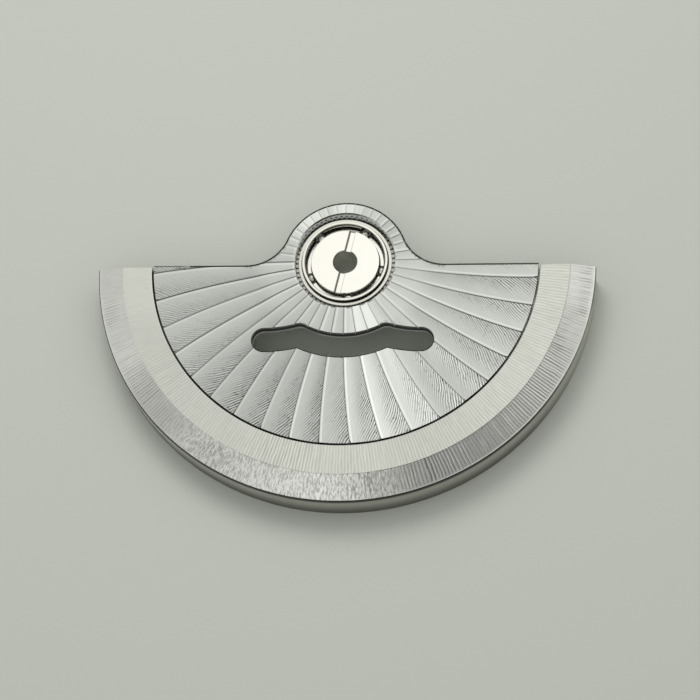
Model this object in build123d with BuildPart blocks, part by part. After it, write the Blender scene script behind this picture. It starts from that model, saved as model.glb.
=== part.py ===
"""Winding rotor of an automatic watch: a striped carrier plate, a heavy half-ring weight and a small ball bearing.

The frame: the origin is on the bearing's axis, in the plane that the bearing's neck seats on. +Z points up to
the decorated side, +X runs along the rotor's straight edge, and the weight lies towards -Y. Lengths are in
millimetres and angles in degrees.
"""

from build123d import *
from math import cos, pi, radians, sin, tan
import os

# Rotor as a whole
rotor_radius = 12.5
straight_edge_offset = 0.19
cut_overrun = 1.0

# Carrier plate
plate_thickness = 0.50
plate_edge_break = 0.04
hole_edge_break = 0.08
hub_overhang = 0.24
hub_fillet_radius = 2.20

# Gull-wing slot in the plate
slot_width = 1.18
slot_hub_land = 0.76
slot_bend_angle = 28.5
slot_wing_span = 1.73
slot_wing_drop = 0.242

# Weight
bevel_width = 1.29
bevel_drop = 0.35
band_width = 1.48
weight_gap = 0.07
weight_end_inset = 0.09
ledge_width = 0.82
ledge_thickness = 0.62
skirt_width = 1.65
rim_height = 2.25
weight_edge_break = 0.05

# Balls and the grooves that they run in
ball_count = 5
ball_radius = 0.275
ball_clearance = 0.025
ball_pitch_radius = 1.85
ball_start_angle = 60.0
contact_angle = 45.0

# Inner race: the slotted core and the cone on its neck
flange_inset = 0.14
flange_height = 0.43
cone_width = 0.66
neck_wall = 0.44
neck_stand = 0.25
core_edge_break = 0.03
cone_fit_gap = 0.01
driver_slot_width = 0.28
driver_slot_depth = 0.12
driver_slot_angle = 78.3

# Outer race, its lip and the plain ring around it
race_outset = 0.15
race_underhang = 0.50
core_sink = 0.12
lip_width = 0.14
lip_stand = 0.02
lip_chamfer = 0.03
relief_width = 0.05
relief_depth = 0.08
ring_width = 0.15
ring_sink = 0.20

# Toothed collar that the plate is pressed over
collar_width = 0.17
collar_step = 0.14
collar_fit_gap = 0.01
collar_tooth_count = 60
collar_tooth_depth = 0.12
collar_notch_width = 0.16

# Drive teeth under the plate
shoulder_width = 0.22
drive_tooth_count = 60
drive_tooth_depth = 0.22
drive_tip_rise = 0.09
drive_tip_land = 0.05
drive_tooth_sink = 0.05

# Cage
cage_flange_gap = 0.03
cage_race_gap = 0.07
cage_rise = 0.06
cage_web = 0.10
pocket_clearance = 0.03

# Heights, stacked up from the seat
race_bottom_height = neck_stand
ball_height = race_bottom_height + race_underhang
core_height = ball_height + flange_height
plate_top_height = core_height + core_sink
shoulder_height = plate_top_height - plate_thickness
foot_height = plate_top_height - rim_height
lip_top_height = plate_top_height + lip_stand
ring_top_height = plate_top_height - ring_sink
collar_top_height = ring_top_height - collar_step

# Radii of the bearing, from the circle of the balls inwards and outwards
groove_radius = ball_radius + ball_clearance
groove_reach = groove_radius / cos(radians(contact_angle))
inner_groove_apex = ball_pitch_radius - groove_reach
outer_groove_apex = ball_pitch_radius + groove_reach
core_flange_radius = ball_pitch_radius - flange_inset
core_neck_radius = core_flange_radius - cone_width
core_bore_radius = core_neck_radius - neck_wall
race_bore_radius = ball_pitch_radius + race_outset
flange_face_rise = (core_flange_radius - inner_groove_apex) / tan(radians(contact_angle))
race_face_rise = (outer_groove_apex - race_bore_radius) / tan(radians(contact_angle))
lip_outer_radius = race_bore_radius + lip_width
relief_outer_radius = lip_outer_radius + relief_width
ring_outer_radius = relief_outer_radius + ring_width
collar_radius = ring_outer_radius + collar_width
drive_root_radius = collar_radius + shoulder_width
drive_tip_radius = drive_root_radius + drive_tooth_depth
drive_pitch_radius = drive_tip_radius - drive_tip_rise
drive_tooth_width = pi * drive_pitch_radius / drive_tooth_count
cage_inner_radius = core_flange_radius + cage_flange_gap
cage_outer_radius = race_bore_radius - cage_race_gap

# Radii of the plate and the weight
hub_radius = drive_tip_radius + hub_overhang
slot_arc_radius = hub_radius + slot_hub_land + slot_width / 2
band_outer_radius = rotor_radius - bevel_width
band_inner_radius = band_outer_radius - band_width
plate_radius = band_inner_radius - weight_gap
ledge_inner_radius = plate_radius - ledge_width
skirt_inner_radius = rotor_radius - skirt_width
straight_edge = Plane.XZ.offset(straight_edge_offset)
weight_end = Plane.XZ.offset(straight_edge_offset + weight_end_inset)

os.makedirs("parts", exist_ok=True)


def finish_piece(piece, name):
    """Labels a finished piece, writes its STEP file and prints its volume."""
    piece.label = name
    export_step(piece, f"parts/{name}.step")
    print(f"{name}: {len(piece.solids())} solid, {piece.volume:.3f} mm3")


def corner(sketch, x, y):
    """Returns the corner of a profile that lies nearest to a point."""
    return sketch.vertices().sort_by_distance((x, y, 0))[0]


# Carrier plate: half a disc with a round hub, cut through by the bearing's hole and the gull-wing slot.
# The slot's middle follows the bearing's axis, and each wing flares out level with the straight edge.
bend_x = slot_arc_radius * sin(radians(slot_bend_angle))
bend_y = -slot_arc_radius * cos(radians(slot_bend_angle))
with BuildLine() as slot_path:
    CenterArc((0, 0), slot_arc_radius, -90 - slot_bend_angle, 2 * slot_bend_angle)
    wing = TangentArc((bend_x + slot_wing_span, bend_y - slot_wing_drop), (bend_x, bend_y), tangent=(-1, 0))
    mirror(wing, about=Plane.YZ)

with BuildPart() as rotor_plate:
    with BuildSketch(Plane.XY.offset(shoulder_height)) as plate_outline:
        Circle(plate_radius)
        split(bisect_by=straight_edge)
        Circle(hub_radius)
        hub_corners = [corner(plate_outline, side * hub_radius, -straight_edge_offset) for side in (-1, 1)]
        fillet(hub_corners, radius=hub_fillet_radius)
        Circle(collar_radius + collar_fit_gap, mode=Mode.SUBTRACT)
        for run in slot_path.edges():
            SlotArc(run, slot_width, mode=Mode.SUBTRACT)
    extrude(amount=plate_thickness)
    top_edges = rotor_plate.faces().sort_by(Axis.Z)[-1].edges()
    hole_edges = top_edges.filter_by(lambda edge: edge.length < 2 * pi * (collar_radius + cut_overrun) and edge.is_closed)
    chamfer(hole_edges, length=hole_edge_break)
    chamfer([edge for edge in top_edges if edge not in hole_edges], length=plate_edge_break)
finish_piece(rotor_plate.part, "rotor_plate")

# Weight: a revolved section cut off just inside the straight edge. The plate lies on its inner ledge, flush with the
# flat band. The skirt hangs outside the movement, so the section is cut back under the ledge.
with BuildPart() as rotor_weight:
    with BuildSketch(Plane.XZ) as weight_section:
        with BuildLine():
            Polyline(
                (ledge_inner_radius, shoulder_height - ledge_thickness),
                (ledge_inner_radius, shoulder_height),
                (band_inner_radius, shoulder_height),
                (band_inner_radius, plate_top_height),
                (band_outer_radius, plate_top_height),
                (rotor_radius, plate_top_height - bevel_drop),
                (rotor_radius, foot_height),
                (skirt_inner_radius, foot_height),
                (skirt_inner_radius, shoulder_height - ledge_thickness),
                close=True,
            )
        make_face()
        broken_corners = [
            corner(weight_section, band_inner_radius, plate_top_height),
            corner(weight_section, rotor_radius, plate_top_height - bevel_drop),
            corner(weight_section, rotor_radius, foot_height),
            corner(weight_section, skirt_inner_radius, foot_height),
        ]
        chamfer(broken_corners, length=weight_edge_break)
    revolve(axis=Axis.Z)
    split(bisect_by=weight_end)
finish_piece(rotor_weight.part, "rotor_weight")

# Core: a slotted flange over a neck. Its under face is the upper cone of the inner groove, and the cone piece
# below gives the lower one. The neck stands below both races and seats on the movement.
with BuildPart() as bearing_core:
    with BuildSketch(Plane.XZ) as core_section:
        with BuildLine():
            Polyline(
                (core_bore_radius, 0),
                (core_neck_radius, 0),
                (core_neck_radius, ball_height),
                (inner_groove_apex, ball_height),
                (core_flange_radius, ball_height + flange_face_rise),
                (core_flange_radius, core_height),
                (core_bore_radius, core_height),
                close=True,
            )
        make_face()
        core_corners = [
            corner(core_section, core_flange_radius, core_height),
            corner(core_section, core_bore_radius, core_height),
            corner(core_section, core_neck_radius, 0),
        ]
        chamfer(core_corners, length=core_edge_break)
    revolve(axis=Axis.Z)
    with Locations(Location((0, 0, core_height - driver_slot_depth), (0, 0, driver_slot_angle))):
        Box(
            2 * core_flange_radius + cut_overrun,
            driver_slot_width,
            driver_slot_depth + cut_overrun,
            align=(Align.CENTER, Align.CENTER, Align.MIN),
            mode=Mode.SUBTRACT,
        )
finish_piece(bearing_core.part, "bearing_core")

# Cone: the lower half of the inner groove, a ring on the core's neck
cone_bore_radius = core_neck_radius + cone_fit_gap
with BuildPart() as bearing_cone:
    with BuildSketch(Plane.XZ) as cone_section:
        with BuildLine():
            Polyline(
                (cone_bore_radius, ball_height),
                (inner_groove_apex, ball_height),
                (core_flange_radius, ball_height - flange_face_rise),
                (core_flange_radius, race_bottom_height),
                (cone_bore_radius, race_bottom_height),
                close=True,
            )
        make_face()
        chamfer(corner(cone_section, core_flange_radius, race_bottom_height), length=core_edge_break)
    revolve(axis=Axis.Z)
finish_piece(bearing_cone.part, "bearing_cone")

# Outer race: one ring with the outer groove, the polished lip, the sunken plain ring, the toothed collar in the
# plate's hole and the drive teeth below, whose top is the shoulder that carries the plate
with BuildSketch() as drive_tooth:
    with BuildLine():
        Polyline(
            (drive_tip_radius, drive_tip_land / 2),
            (drive_pitch_radius, drive_tooth_width / 2),
            (drive_root_radius - drive_tooth_sink, drive_tooth_width / 2),
            (drive_root_radius - drive_tooth_sink, -drive_tooth_width / 2),
            (drive_pitch_radius, -drive_tooth_width / 2),
            (drive_tip_radius, -drive_tip_land / 2),
            close=True,
        )
    make_face()

with BuildPart() as bearing_outer_race:
    with BuildSketch(Plane.XZ) as race_section:
        with BuildLine():
            Polyline(
                (race_bore_radius, race_bottom_height),
                (race_bore_radius, ball_height - race_face_rise),
                (outer_groove_apex, ball_height),
                (race_bore_radius, ball_height + race_face_rise),
                (race_bore_radius, lip_top_height - lip_chamfer),
                (race_bore_radius + lip_chamfer, lip_top_height),
                (lip_outer_radius, lip_top_height),
                (lip_outer_radius, ring_top_height - relief_depth),
                (relief_outer_radius, ring_top_height - relief_depth),
                (relief_outer_radius, ring_top_height),
                (ring_outer_radius, ring_top_height),
                (ring_outer_radius, collar_top_height),
                (collar_radius, collar_top_height),
                (collar_radius, shoulder_height),
                (drive_root_radius, shoulder_height),
                (drive_root_radius, race_bottom_height),
                close=True,
            )
        make_face()
    revolve(axis=Axis.Z)
    with BuildSketch(Plane.XY.offset(shoulder_height)):
        with PolarLocations(collar_radius - collar_tooth_depth, collar_tooth_count):
            Polygon(
                (0, 0),
                (2 * collar_tooth_depth, -collar_notch_width),
                (2 * collar_tooth_depth, collar_notch_width),
                align=None,
            )
    extrude(amount=plate_thickness, mode=Mode.SUBTRACT)
    with BuildSketch(Plane.XY.offset(race_bottom_height)):
        with PolarLocations(0, drive_tooth_count):
            add(drive_tooth.sketch)
    extrude(amount=shoulder_height - race_bottom_height)
finish_piece(bearing_outer_race.part, "bearing_outer_race")

# Cage: a crown ring. Each ball sits in a pocket that is open at the top, over an unbroken web.
pocket_radius = ball_radius + pocket_clearance
cage_bottom_height = ball_height - pocket_radius - cage_web
with BuildPart() as ball_cage:
    with BuildSketch(Plane.XY.offset(cage_bottom_height)):
        Circle(cage_outer_radius)
        Circle(cage_inner_radius, mode=Mode.SUBTRACT)
    extrude(amount=ball_height + cage_rise - cage_bottom_height)
    with PolarLocations(ball_pitch_radius, ball_count, start_angle=ball_start_angle):
        with Locations((0, 0, ball_height)):
            Cylinder(pocket_radius, cut_overrun, rotation=(0, 90, 0), mode=Mode.SUBTRACT)
            Box(
                cut_overrun,
                2 * pocket_radius,
                cut_overrun,
                align=(Align.CENTER, Align.CENTER, Align.MIN),
                mode=Mode.SUBTRACT,
            )
finish_piece(ball_cage.part, "ball_cage")

# Balls: each is a piece of its own, because each one rolls by itself
ball_seats = PolarLocations(ball_pitch_radius, ball_count, start_angle=ball_start_angle)
for number, seat in enumerate(ball_seats, start=1):
    with BuildPart() as bearing_ball:
        with Locations(seat):
            with Locations((0, 0, ball_height)):
                Sphere(ball_radius)
    finish_piece(bearing_ball.part, f"bearing_ball_{number}")

# The rolling ratios that the joints need, from the radii on which a ball touches the two races
contact_offset = ball_radius * cos(radians(contact_angle))
cage_ratio = (ball_pitch_radius + contact_offset) / (2 * ball_pitch_radius)
ball_ratio = (1 - cage_ratio) * (ball_pitch_radius + contact_offset) / contact_offset
print(f"cage turns {cage_ratio:.6f} times the rotor, each ball {ball_ratio:.6f} times it in the cage")
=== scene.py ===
"""Dresses the automatic watch rotor: its striped carrier plate, its grooved rim weight and its ball bearing.

The classes hold their sizes in millimetres, and a mesh is put into metres when it is made. The frame is the
CAD's: Z is the bearing's axis, the straight edge runs along X, and the weight lies towards -Y.
"""

import logging
import math
from dataclasses import dataclass
from enum import Enum
from typing import Sequence

import bmesh
import bpy
import numpy as np
from mathutils import Matrix, Vector
from mathutils.geometry import delaunay_2d_cdt

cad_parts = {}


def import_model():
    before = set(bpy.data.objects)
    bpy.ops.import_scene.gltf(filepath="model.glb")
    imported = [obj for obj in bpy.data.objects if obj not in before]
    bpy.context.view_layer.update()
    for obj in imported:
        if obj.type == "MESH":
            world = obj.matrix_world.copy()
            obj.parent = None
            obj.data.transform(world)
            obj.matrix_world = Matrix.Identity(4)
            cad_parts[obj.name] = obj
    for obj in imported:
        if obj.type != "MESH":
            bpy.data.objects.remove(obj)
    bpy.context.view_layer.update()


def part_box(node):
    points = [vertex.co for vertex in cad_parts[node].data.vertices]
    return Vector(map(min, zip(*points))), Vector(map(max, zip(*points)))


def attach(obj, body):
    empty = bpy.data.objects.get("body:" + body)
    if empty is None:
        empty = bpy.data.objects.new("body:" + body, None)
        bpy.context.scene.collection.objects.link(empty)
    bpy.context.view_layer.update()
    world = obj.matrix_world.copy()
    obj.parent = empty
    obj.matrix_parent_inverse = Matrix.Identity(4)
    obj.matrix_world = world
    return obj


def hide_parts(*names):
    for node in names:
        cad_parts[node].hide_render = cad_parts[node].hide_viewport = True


MM = 0.001
LOG = logging.getLogger("rotor")
Array = np.ndarray
Piece = bpy.types.Object
Pair = tuple[float, float]
Triple = tuple[float, float, float]
Colour = Triple

# Numbers of the chance values: a turn for each step, the sine's multiple, and a row's steps in a lattice
CHANCE_TURN = 12.9898
CHANCE_SCALE = 43758.5453
LATTICE_ROW = 57.0

# How far out a rounded corner's flat sides are held, in shares of its ease
EASE_HOLD = 1.25


class Slot(Enum):
    """Names of the record's material slots for the pieces."""

    PLATE = "striped_plate"
    WEIGHT = "weight_metal"
    BEARING = "bearing_steel"
    BALL = "ball_steel"
    CAGE = "cage_metal"


class Body(Enum):
    """Bodies that the pieces ride on."""

    INNER = "inner_race"
    ROTOR = "rotor"
    CAGE = "cage"


# Arrays and meshes


def smoothstep(low: float, high: float, value: Array) -> Array:
    """Rises smoothly from 0 at low to 1 at high, as 3t squared minus 2t cubed.

    Args:
        low: Value at which the step starts.
        high: Value at which it ends.
        value: The values to map.

    Returns:
        The mapped values.
    """
    t = np.clip((value - low) / (high - low), 0.0, 1.0)
    return t * t * (3.0 - 2.0 * t)


def scatter(index: Array, seed: float) -> Array:
    """Gives whole numbers a steady chance value from 0 to 1, the fraction of a large multiple of a sine."""
    value = np.sin(index * CHANCE_TURN + seed) * CHANCE_SCALE
    return value - np.floor(value)


def cloudy(a: Array, b: Array, seed: float) -> Array:
    """Smooth noise from 0 to 1 on two coordinates.

    Every whole place of the lattice has a chance value, and between four of them the noise is their mean
    weighted by a smooth step along each coordinate.

    Args:
        a: First coordinate, in cells.
        b: Second coordinate, in cells.
        seed: Picks the chance values.

    Returns:
        The noise at each place.
    """
    column, row = np.floor(a), np.floor(b)
    u, v = smoothstep(0.0, 1.0, a - column), smoothstep(0.0, 1.0, b - row)
    low, high = (
        scatter(column + LATTICE_ROW * level, seed) * (1 - u)
        + scatter(column + 1 + LATTICE_ROW * level, seed) * u
        for level in (row, row + 1)
    )
    return low * (1 - v) + high * v


def arc(centre: Pair, radius: float, start: float, end: float, count: int) -> Array:
    """Points on an arc: the centre plus the radius times the cosine and sine of even angles.

    Args:
        centre: The arc's centre.
        radius: Its radius.
        start: Angle of the first point, in degrees.
        end: Angle at which the arc ends, in degrees.
        count: Number of points, the one at the end left out.

    Returns:
        An array of count points.
    """
    turn = np.radians(np.linspace(start, end, count, endpoint=False))
    return np.stack([centre[0] + radius * np.cos(turn), centre[1] + radius * np.sin(turn)], -1)


def run(start: Pair, end: Pair, count: int) -> Array:
    """Evenly spaced points from start towards end, the end left out."""
    return np.linspace(start, end, count, endpoint=False)


def eased(corners: Sequence[Triple], steps: int = 4) -> Array:
    """Rounds a closed profile's corners with short quadratic curves.

    Each corner is (across, up, ease). The curve leaves the side before it at the distance ease from the
    corner, is drawn towards the corner, and meets the side after it at the same distance. A further point a
    quarter of ease outside each end keeps the flat sides flat in smooth shading.

    Args:
        corners: The corners in order, with 0 for one that stays sharp.
        steps: Number of spans in each rounded corner.

    Returns:
        The profile's points.
    """
    points = np.array(corners)[:, :2]
    found = []
    for number, (across, up, ease) in enumerate(corners):
        here = np.array((across, up))
        if not ease:
            found.append(here[None])
            continue
        before = points[number - 1] - here
        after = points[(number + 1) % len(points)] - here
        back, ahead = before / np.linalg.norm(before) * ease, after / np.linalg.norm(after) * ease
        t = np.linspace(0.0, 1.0, steps + 1)[:, None]
        curve = (1 - t) ** 2 * (here + back) + 2 * t * (1 - t) * here + t**2 * (here + ahead)
        found.append(np.concatenate([[here + back * EASE_HOLD], curve, [here + ahead * EASE_HOLD]]))
    return np.concatenate(found)


def weave(rows: int, columns: int, close_rows: bool, close_columns: bool) -> Array:
    """Quads between neighbouring points of a grid that is stored row by row.

    Args:
        rows: Number of rows.
        columns: Number of points in a row.
        close_rows: Whether the last row joins the first.
        close_columns: Whether a row's last point joins its first.

    Returns:
        An array of quads, four point numbers each.
    """
    i, j = np.meshgrid(
        np.arange(rows - (not close_rows)), np.arange(columns - (not close_columns)), indexing="ij"
    )
    below, beside = (i + 1) % rows, (j + 1) % columns
    corners = [i * columns + j, below * columns + j, below * columns + beside, i * columns + beside]
    return np.stack(corners, -1).reshape(-1, 4)


def lathe(profile: Array, angles: Array) -> Array:
    """Turns a profile about Z: each (across, up) becomes (across cos a, across sin a, up) at each angle.

    Args:
        profile: Points of the profile, or one set of points for each angle.
        angles: The angles in radians, or one set of angles for each profile point.

    Returns:
        A grid of points with a row for each angle.
    """
    across, up = np.broadcast_to(profile[..., 0], angles.shape[:1] + profile.shape[-2:-1]), profile[..., 1]
    turn = angles if angles.ndim == 2 else angles[:, None]
    return np.stack(
        [across * np.cos(turn), across * np.sin(turn), np.broadcast_to(up, across.shape)], -1
    )


def volume_sign(points: Array, faces: Sequence[Sequence[int]]) -> float:
    """Finds the sign of a closed mesh's volume, from the fans of its faces seen from the middle.

    Args:
        points: The points.
        faces: Point numbers of each face.

    Returns:
        1 where the faces point outwards, -1 where they point inwards.
    """
    centred = points - points.mean(0)
    total = 0.0
    for size in {len(face) for face in faces}:
        same = np.array([face for face in faces if len(face) == size])
        for step in range(1, size - 1):
            a, b, c = centred[same[:, 0]], centred[same[:, step]], centred[same[:, step + 1]]
            total += float(np.einsum("ij,ij->i", a, np.cross(b, c)).sum())
    return math.copysign(1.0, total)


def make_mesh(name: str, points: Array, faces: Sequence[Sequence[int]]) -> Piece:
    """Puts a closed shape into a new object, in metres, with its faces turned outwards.

    Args:
        name: Name of the object and its mesh.
        points: The points, in millimetres.
        faces: Point numbers of each face.

    Returns:
        The new object, linked to the scene.
    """
    if volume_sign(points, faces) < 0:
        faces = [tuple(reversed(face)) for face in faces]
    mesh = bpy.data.meshes.new(name)
    mesh.from_pydata((points * MM).tolist(), [], faces)
    mesh.update()
    piece = bpy.data.objects.new(name, mesh)
    bpy.context.scene.collection.objects.link(piece)
    return piece


def shade(piece: Piece, sharp_angle: float = 28.0) -> None:
    """Smooths a piece's shading except across edges that fold by more than sharp_angle degrees."""
    piece.data.shade_smooth()
    piece.data.set_sharp_from_angle(angle=math.radians(sharp_angle))


def crease(piece: Piece, row: int, count: int) -> None:
    """Makes one line along a turned piece a sharp edge.

    Args:
        piece: The piece, whose points are stored section by section.
        row: The line's place in a section.
        count: Number of points in a section.
    """
    ends = np.empty(len(piece.data.edges) * 2, dtype=np.int32)
    piece.data.edges.foreach_get("vertices", ends)
    on_row = (ends.reshape(-1, 2) % count == row).all(1)
    attributes = piece.data.attributes
    sharp = attributes.get("sharp_edge") or attributes.new("sharp_edge", "BOOLEAN", "EDGE")
    marks = np.zeros(len(on_row), dtype=bool)
    sharp.data.foreach_get("value", marks)
    sharp.data.foreach_set("value", marks | on_row)


def weld(piece: Piece, reach: float) -> None:
    """Merges the points of a piece that lie close to each other.

    Args:
        piece: The piece.
        reach: Distance within which points merge, in millimetres.
    """
    bench = bmesh.new()
    bench.from_mesh(piece.data)
    bmesh.ops.remove_doubles(bench, verts=bench.verts, dist=reach * MM)
    bench.to_mesh(piece.data)
    bench.free()


def turned(name: str, profile: Array, angles: Array) -> Piece:
    """Makes a full ring from a closed profile.

    Args:
        name: Name of the piece.
        profile: The closed profile, or one for each angle.
        angles: Angles of the grid's rows, in radians, all the way round.

    Returns:
        The new piece.
    """
    grid = lathe(profile, angles)
    faces = weave(len(angles), profile.shape[-2], True, True)
    return make_mesh(name, grid.reshape(-1, 3), faces.tolist())


def full_turn(count: int) -> Array:
    """Even angles of a full turn, in radians."""
    return np.linspace(0.0, 2.0 * np.pi, count, endpoint=False)


# Shader maths


class Signal:
    """A number socket of a node tree that can be used in sums and products."""

    def __init__(self, bench: "NodeBench", socket: bpy.types.NodeSocket) -> None:
        """Wraps one output socket."""
        self.bench = bench
        self.socket = socket

    def __add__(self, other: "Signal | float") -> "Signal":
        """Adds two values."""
        return self.bench.math("ADD", self, other)

    __radd__ = __add__

    def __sub__(self, other: "Signal | float") -> "Signal":
        """Takes the second value from the first."""
        return self.bench.math("SUBTRACT", self, other)

    def __rsub__(self, other: float) -> "Signal":
        """Takes the value from a number."""
        return self.bench.math("SUBTRACT", other, self)

    def __mul__(self, other: "Signal | float") -> "Signal":
        """Multiplies two values."""
        return self.bench.math("MULTIPLY", self, other)

    __rmul__ = __mul__

    def __truediv__(self, other: "Signal | float") -> "Signal":
        """Divides the first value by the second."""
        return self.bench.math("DIVIDE", self, other)

    def __rtruediv__(self, other: float) -> "Signal":
        """Divides a number by the value."""
        return self.bench.math("DIVIDE", other, self)

    def __pow__(self, other: float) -> "Signal":
        """Raises the value to a power."""
        return self.bench.math("POWER", self, other)

    def __rpow__(self, other: float) -> "Signal":
        """Raises a number to the value."""
        return self.bench.math("POWER", other, self)


Value = Signal | float


class NodeBench:
    """Builds one node tree."""

    def __init__(self, tree: bpy.types.NodeTree) -> None:
        """Empties the tree."""
        self.tree = tree
        tree.nodes.clear()

    def node(self, kind: str, settings: dict | None = None, inputs: dict | None = None) -> bpy.types.Node:
        """Adds a node of any type.

        Args:
            kind: The node's type.
            settings: Its properties, set first.
            inputs: Values, Signals or sockets for its inputs, by name or number.

        Returns:
            The new node.
        """
        made = self.tree.nodes.new(kind)
        for key, value in (settings or {}).items():
            setattr(made, key, value)
        for key, value in (inputs or {}).items():
            socket = made.inputs[key]
            if isinstance(value, Signal):
                self.tree.links.new(value.socket, socket)
            elif isinstance(value, bpy.types.NodeSocket):
                self.tree.links.new(value, socket)
            elif isinstance(value, tuple) and socket.type == "RGBA":
                socket.default_value = (*value, 1.0)
            else:
                socket.default_value = value
        return made

    def math(self, operation: str, *values: Value) -> Signal:
        """Adds a Math node on one to three values."""
        made = self.node("ShaderNodeMath", {"operation": operation}, dict(enumerate(values)))
        return Signal(self, made.outputs[0])

    def step(
        self, value: Value, low: Value, high: Value, first: Value = 0.0, last: Value = 1.0
    ) -> Signal:
        """Goes smoothly from first to last while value goes from low to high.

        Args:
            value: What is mapped.
            low: Value at which the change starts.
            high: Value at which it ends.
            first: Result up to low.
            last: Result from high on.

        Returns:
            The mapped value.
        """
        made = self.node(
            "ShaderNodeMapRange",
            {"interpolation_type": "SMOOTHSTEP"},
            {"Value": value, "From Min": low, "From Max": high, "To Min": first, "To Max": last},
        )
        return Signal(self, made.outputs["Result"])

    def hill(self, value: Value, middle: float, half: float, soft: float) -> Signal:
        """Is 1 within half of the middle, and falls smoothly to 0 over soft on either side."""
        return self.step(self.math("ABSOLUTE", value - middle), half, half + soft, 1.0, 0.0)

    def vector(self, x: Value, y: Value, z: Value) -> bpy.types.NodeSocket:
        """Joins three values into a vector."""
        return self.node("ShaderNodeCombineXYZ", None, {"X": x, "Y": y, "Z": z}).outputs[0]

    def noise(self, x: Value, y: Value, z: Value, detail: float = 2.0, roughness: float = 0.5) -> Signal:
        """Cloudy noise about 0.5 at a point given by three values in its own cells.

        Args:
            x: First coordinate.
            y: Second coordinate.
            z: Third coordinate.
            detail: Number of finer layers.
            roughness: Share of the finer layers.

        Returns:
            The noise's value.
        """
        made = self.node(
            "ShaderNodeTexNoise",
            None,
            {"Vector": self.vector(x, y, z), "Scale": 1.0, "Detail": detail, "Roughness": roughness},
        )
        return Signal(self, made.outputs[0])

    def blend(self, share: Value, low: object, high: object) -> bpy.types.NodeSocket:
        """Mixes two colours, low at a share of 0 and high at a share of 1."""
        made = self.node("ShaderNodeMix", {"data_type": "RGBA"}, {"Factor": share, 6: low, 7: high})
        return made.outputs[2]

    def place(self) -> tuple[Signal, Signal, Signal]:
        """Reads the place on the object.

        Returns:
            The object coordinates x, y and z, in millimetres.
        """
        coordinates = self.node("ShaderNodeTexCoord").outputs["Object"]
        inputs = {0: coordinates, "Scale": 1.0 / MM}
        scaled = self.node("ShaderNodeVectorMath", {"operation": "SCALE"}, inputs).outputs[0]
        parts = self.node("ShaderNodeSeparateXYZ", None, {0: scaled}).outputs
        return Signal(self, parts[0]), Signal(self, parts[1]), Signal(self, parts[2])

    def chance(self, number: Signal) -> Signal:
        """A steady chance value from 0 to 1 for a whole number."""
        made = self.node("ShaderNodeTexWhiteNoise", {"noise_dimensions": "1D"}, {"W": number + 0.5})
        return Signal(self, made.outputs["Value"])

    def upward(self) -> Signal:
        """How far the surface faces upwards, from -1 to 1."""
        normal = self.node("ShaderNodeNewGeometry").outputs["True Normal"]
        return Signal(self, self.node("ShaderNodeSeparateXYZ", None, {0: normal}).outputs[2])

    def marked(self, name: str) -> Signal:
        """A number kept on the mesh's points."""
        return Signal(self, self.node("ShaderNodeAttribute", {"attribute_name": name}).outputs["Fac"])

    def bump(self, height: Signal) -> bpy.types.NodeSocket:
        """Turns a height in millimetres into a normal."""
        made = self.node("ShaderNodeBump", None, {"Strength": 1.0, "Distance": MM, "Height": height})
        return made.outputs["Normal"]

    def surface(self, inputs: dict) -> None:
        """Ends the tree in a Principled shader with these inputs."""
        shader = self.node("ShaderNodeBsdfPrincipled", None, inputs)
        self.node("ShaderNodeOutputMaterial", None, {"Surface": shader.outputs[0]})


def new_material(name: str) -> tuple[bpy.types.Material, NodeBench]:
    """Makes an empty node material.

    Args:
        name: Name of the material.

    Returns:
        The material and the bench that builds its tree.
    """
    material = bpy.data.materials.new(name)
    material.use_nodes = True
    return material, NodeBench(material.node_tree)


# Finishes


@dataclass(frozen=True)
class Rise:
    """A smooth change from one result to another while a value goes from low to high."""

    low: float
    high: float
    first: float = 0.0
    last: float = 1.0

    def on(self, value: Signal) -> Signal:
        """Gives the result for a value."""
        return value.bench.step(value, self.low, self.high, self.first, self.last)


@dataclass(frozen=True)
class Stretch:
    """Where something holds: in full within half of the middle, fading to 0 over soft on either side."""

    middle: float
    half: float
    soft: float
    gain: float = 1.0

    def on(self, value: Signal) -> Signal:
        """Gives the share that holds at a value, times the gain."""
        return value.bench.hill(value, self.middle, self.half, self.soft) * self.gain


@dataclass(frozen=True)
class Speckle:
    """Noise with its cells to a unit of each of three coordinates, its finer layers and their share."""

    first: float
    second: float
    third: float
    detail: float = 2.0
    roughness: float = 0.5

    def on(self, first: Signal, second: Signal, third: Signal) -> Signal:
        """Gives the noise, about 0.5, at a place."""
        cells = (first * self.first, second * self.second, third * self.third)
        return first.bench.noise(*cells, self.detail, self.roughness)


@dataclass(frozen=True)
class Sunray:
    """Sunray stripes: where each one starts, in degrees, and how it turns with the radius."""

    count: int = 40
    first_border: float = -89.33
    bend: float = 0.1325
    bend_start: float = 3.2
    bend_power: float = 1.6

    @property
    def pitch(self) -> float:
        """Angle between two borders, in radians."""
        return 2.0 * math.pi / self.count

    def border(self, radius: Array) -> Array:
        """Angle of the first border in radians, turned by a power of the distance past bend_start."""
        past = np.maximum(radius - self.bend_start, 0.0) ** self.bend_power
        return np.radians(self.first_border + self.bend * past)

    def stripes(self, turn: Signal, radius: Signal) -> Signal:
        """Number of stripes, with its fraction, from the first border on to an angle in degrees."""
        past = radius.bench.math("MAXIMUM", radius - self.bend_start, 0.0) ** self.bend_power
        return (turn - past * self.bend - self.first_border) / math.degrees(self.pitch)


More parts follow.
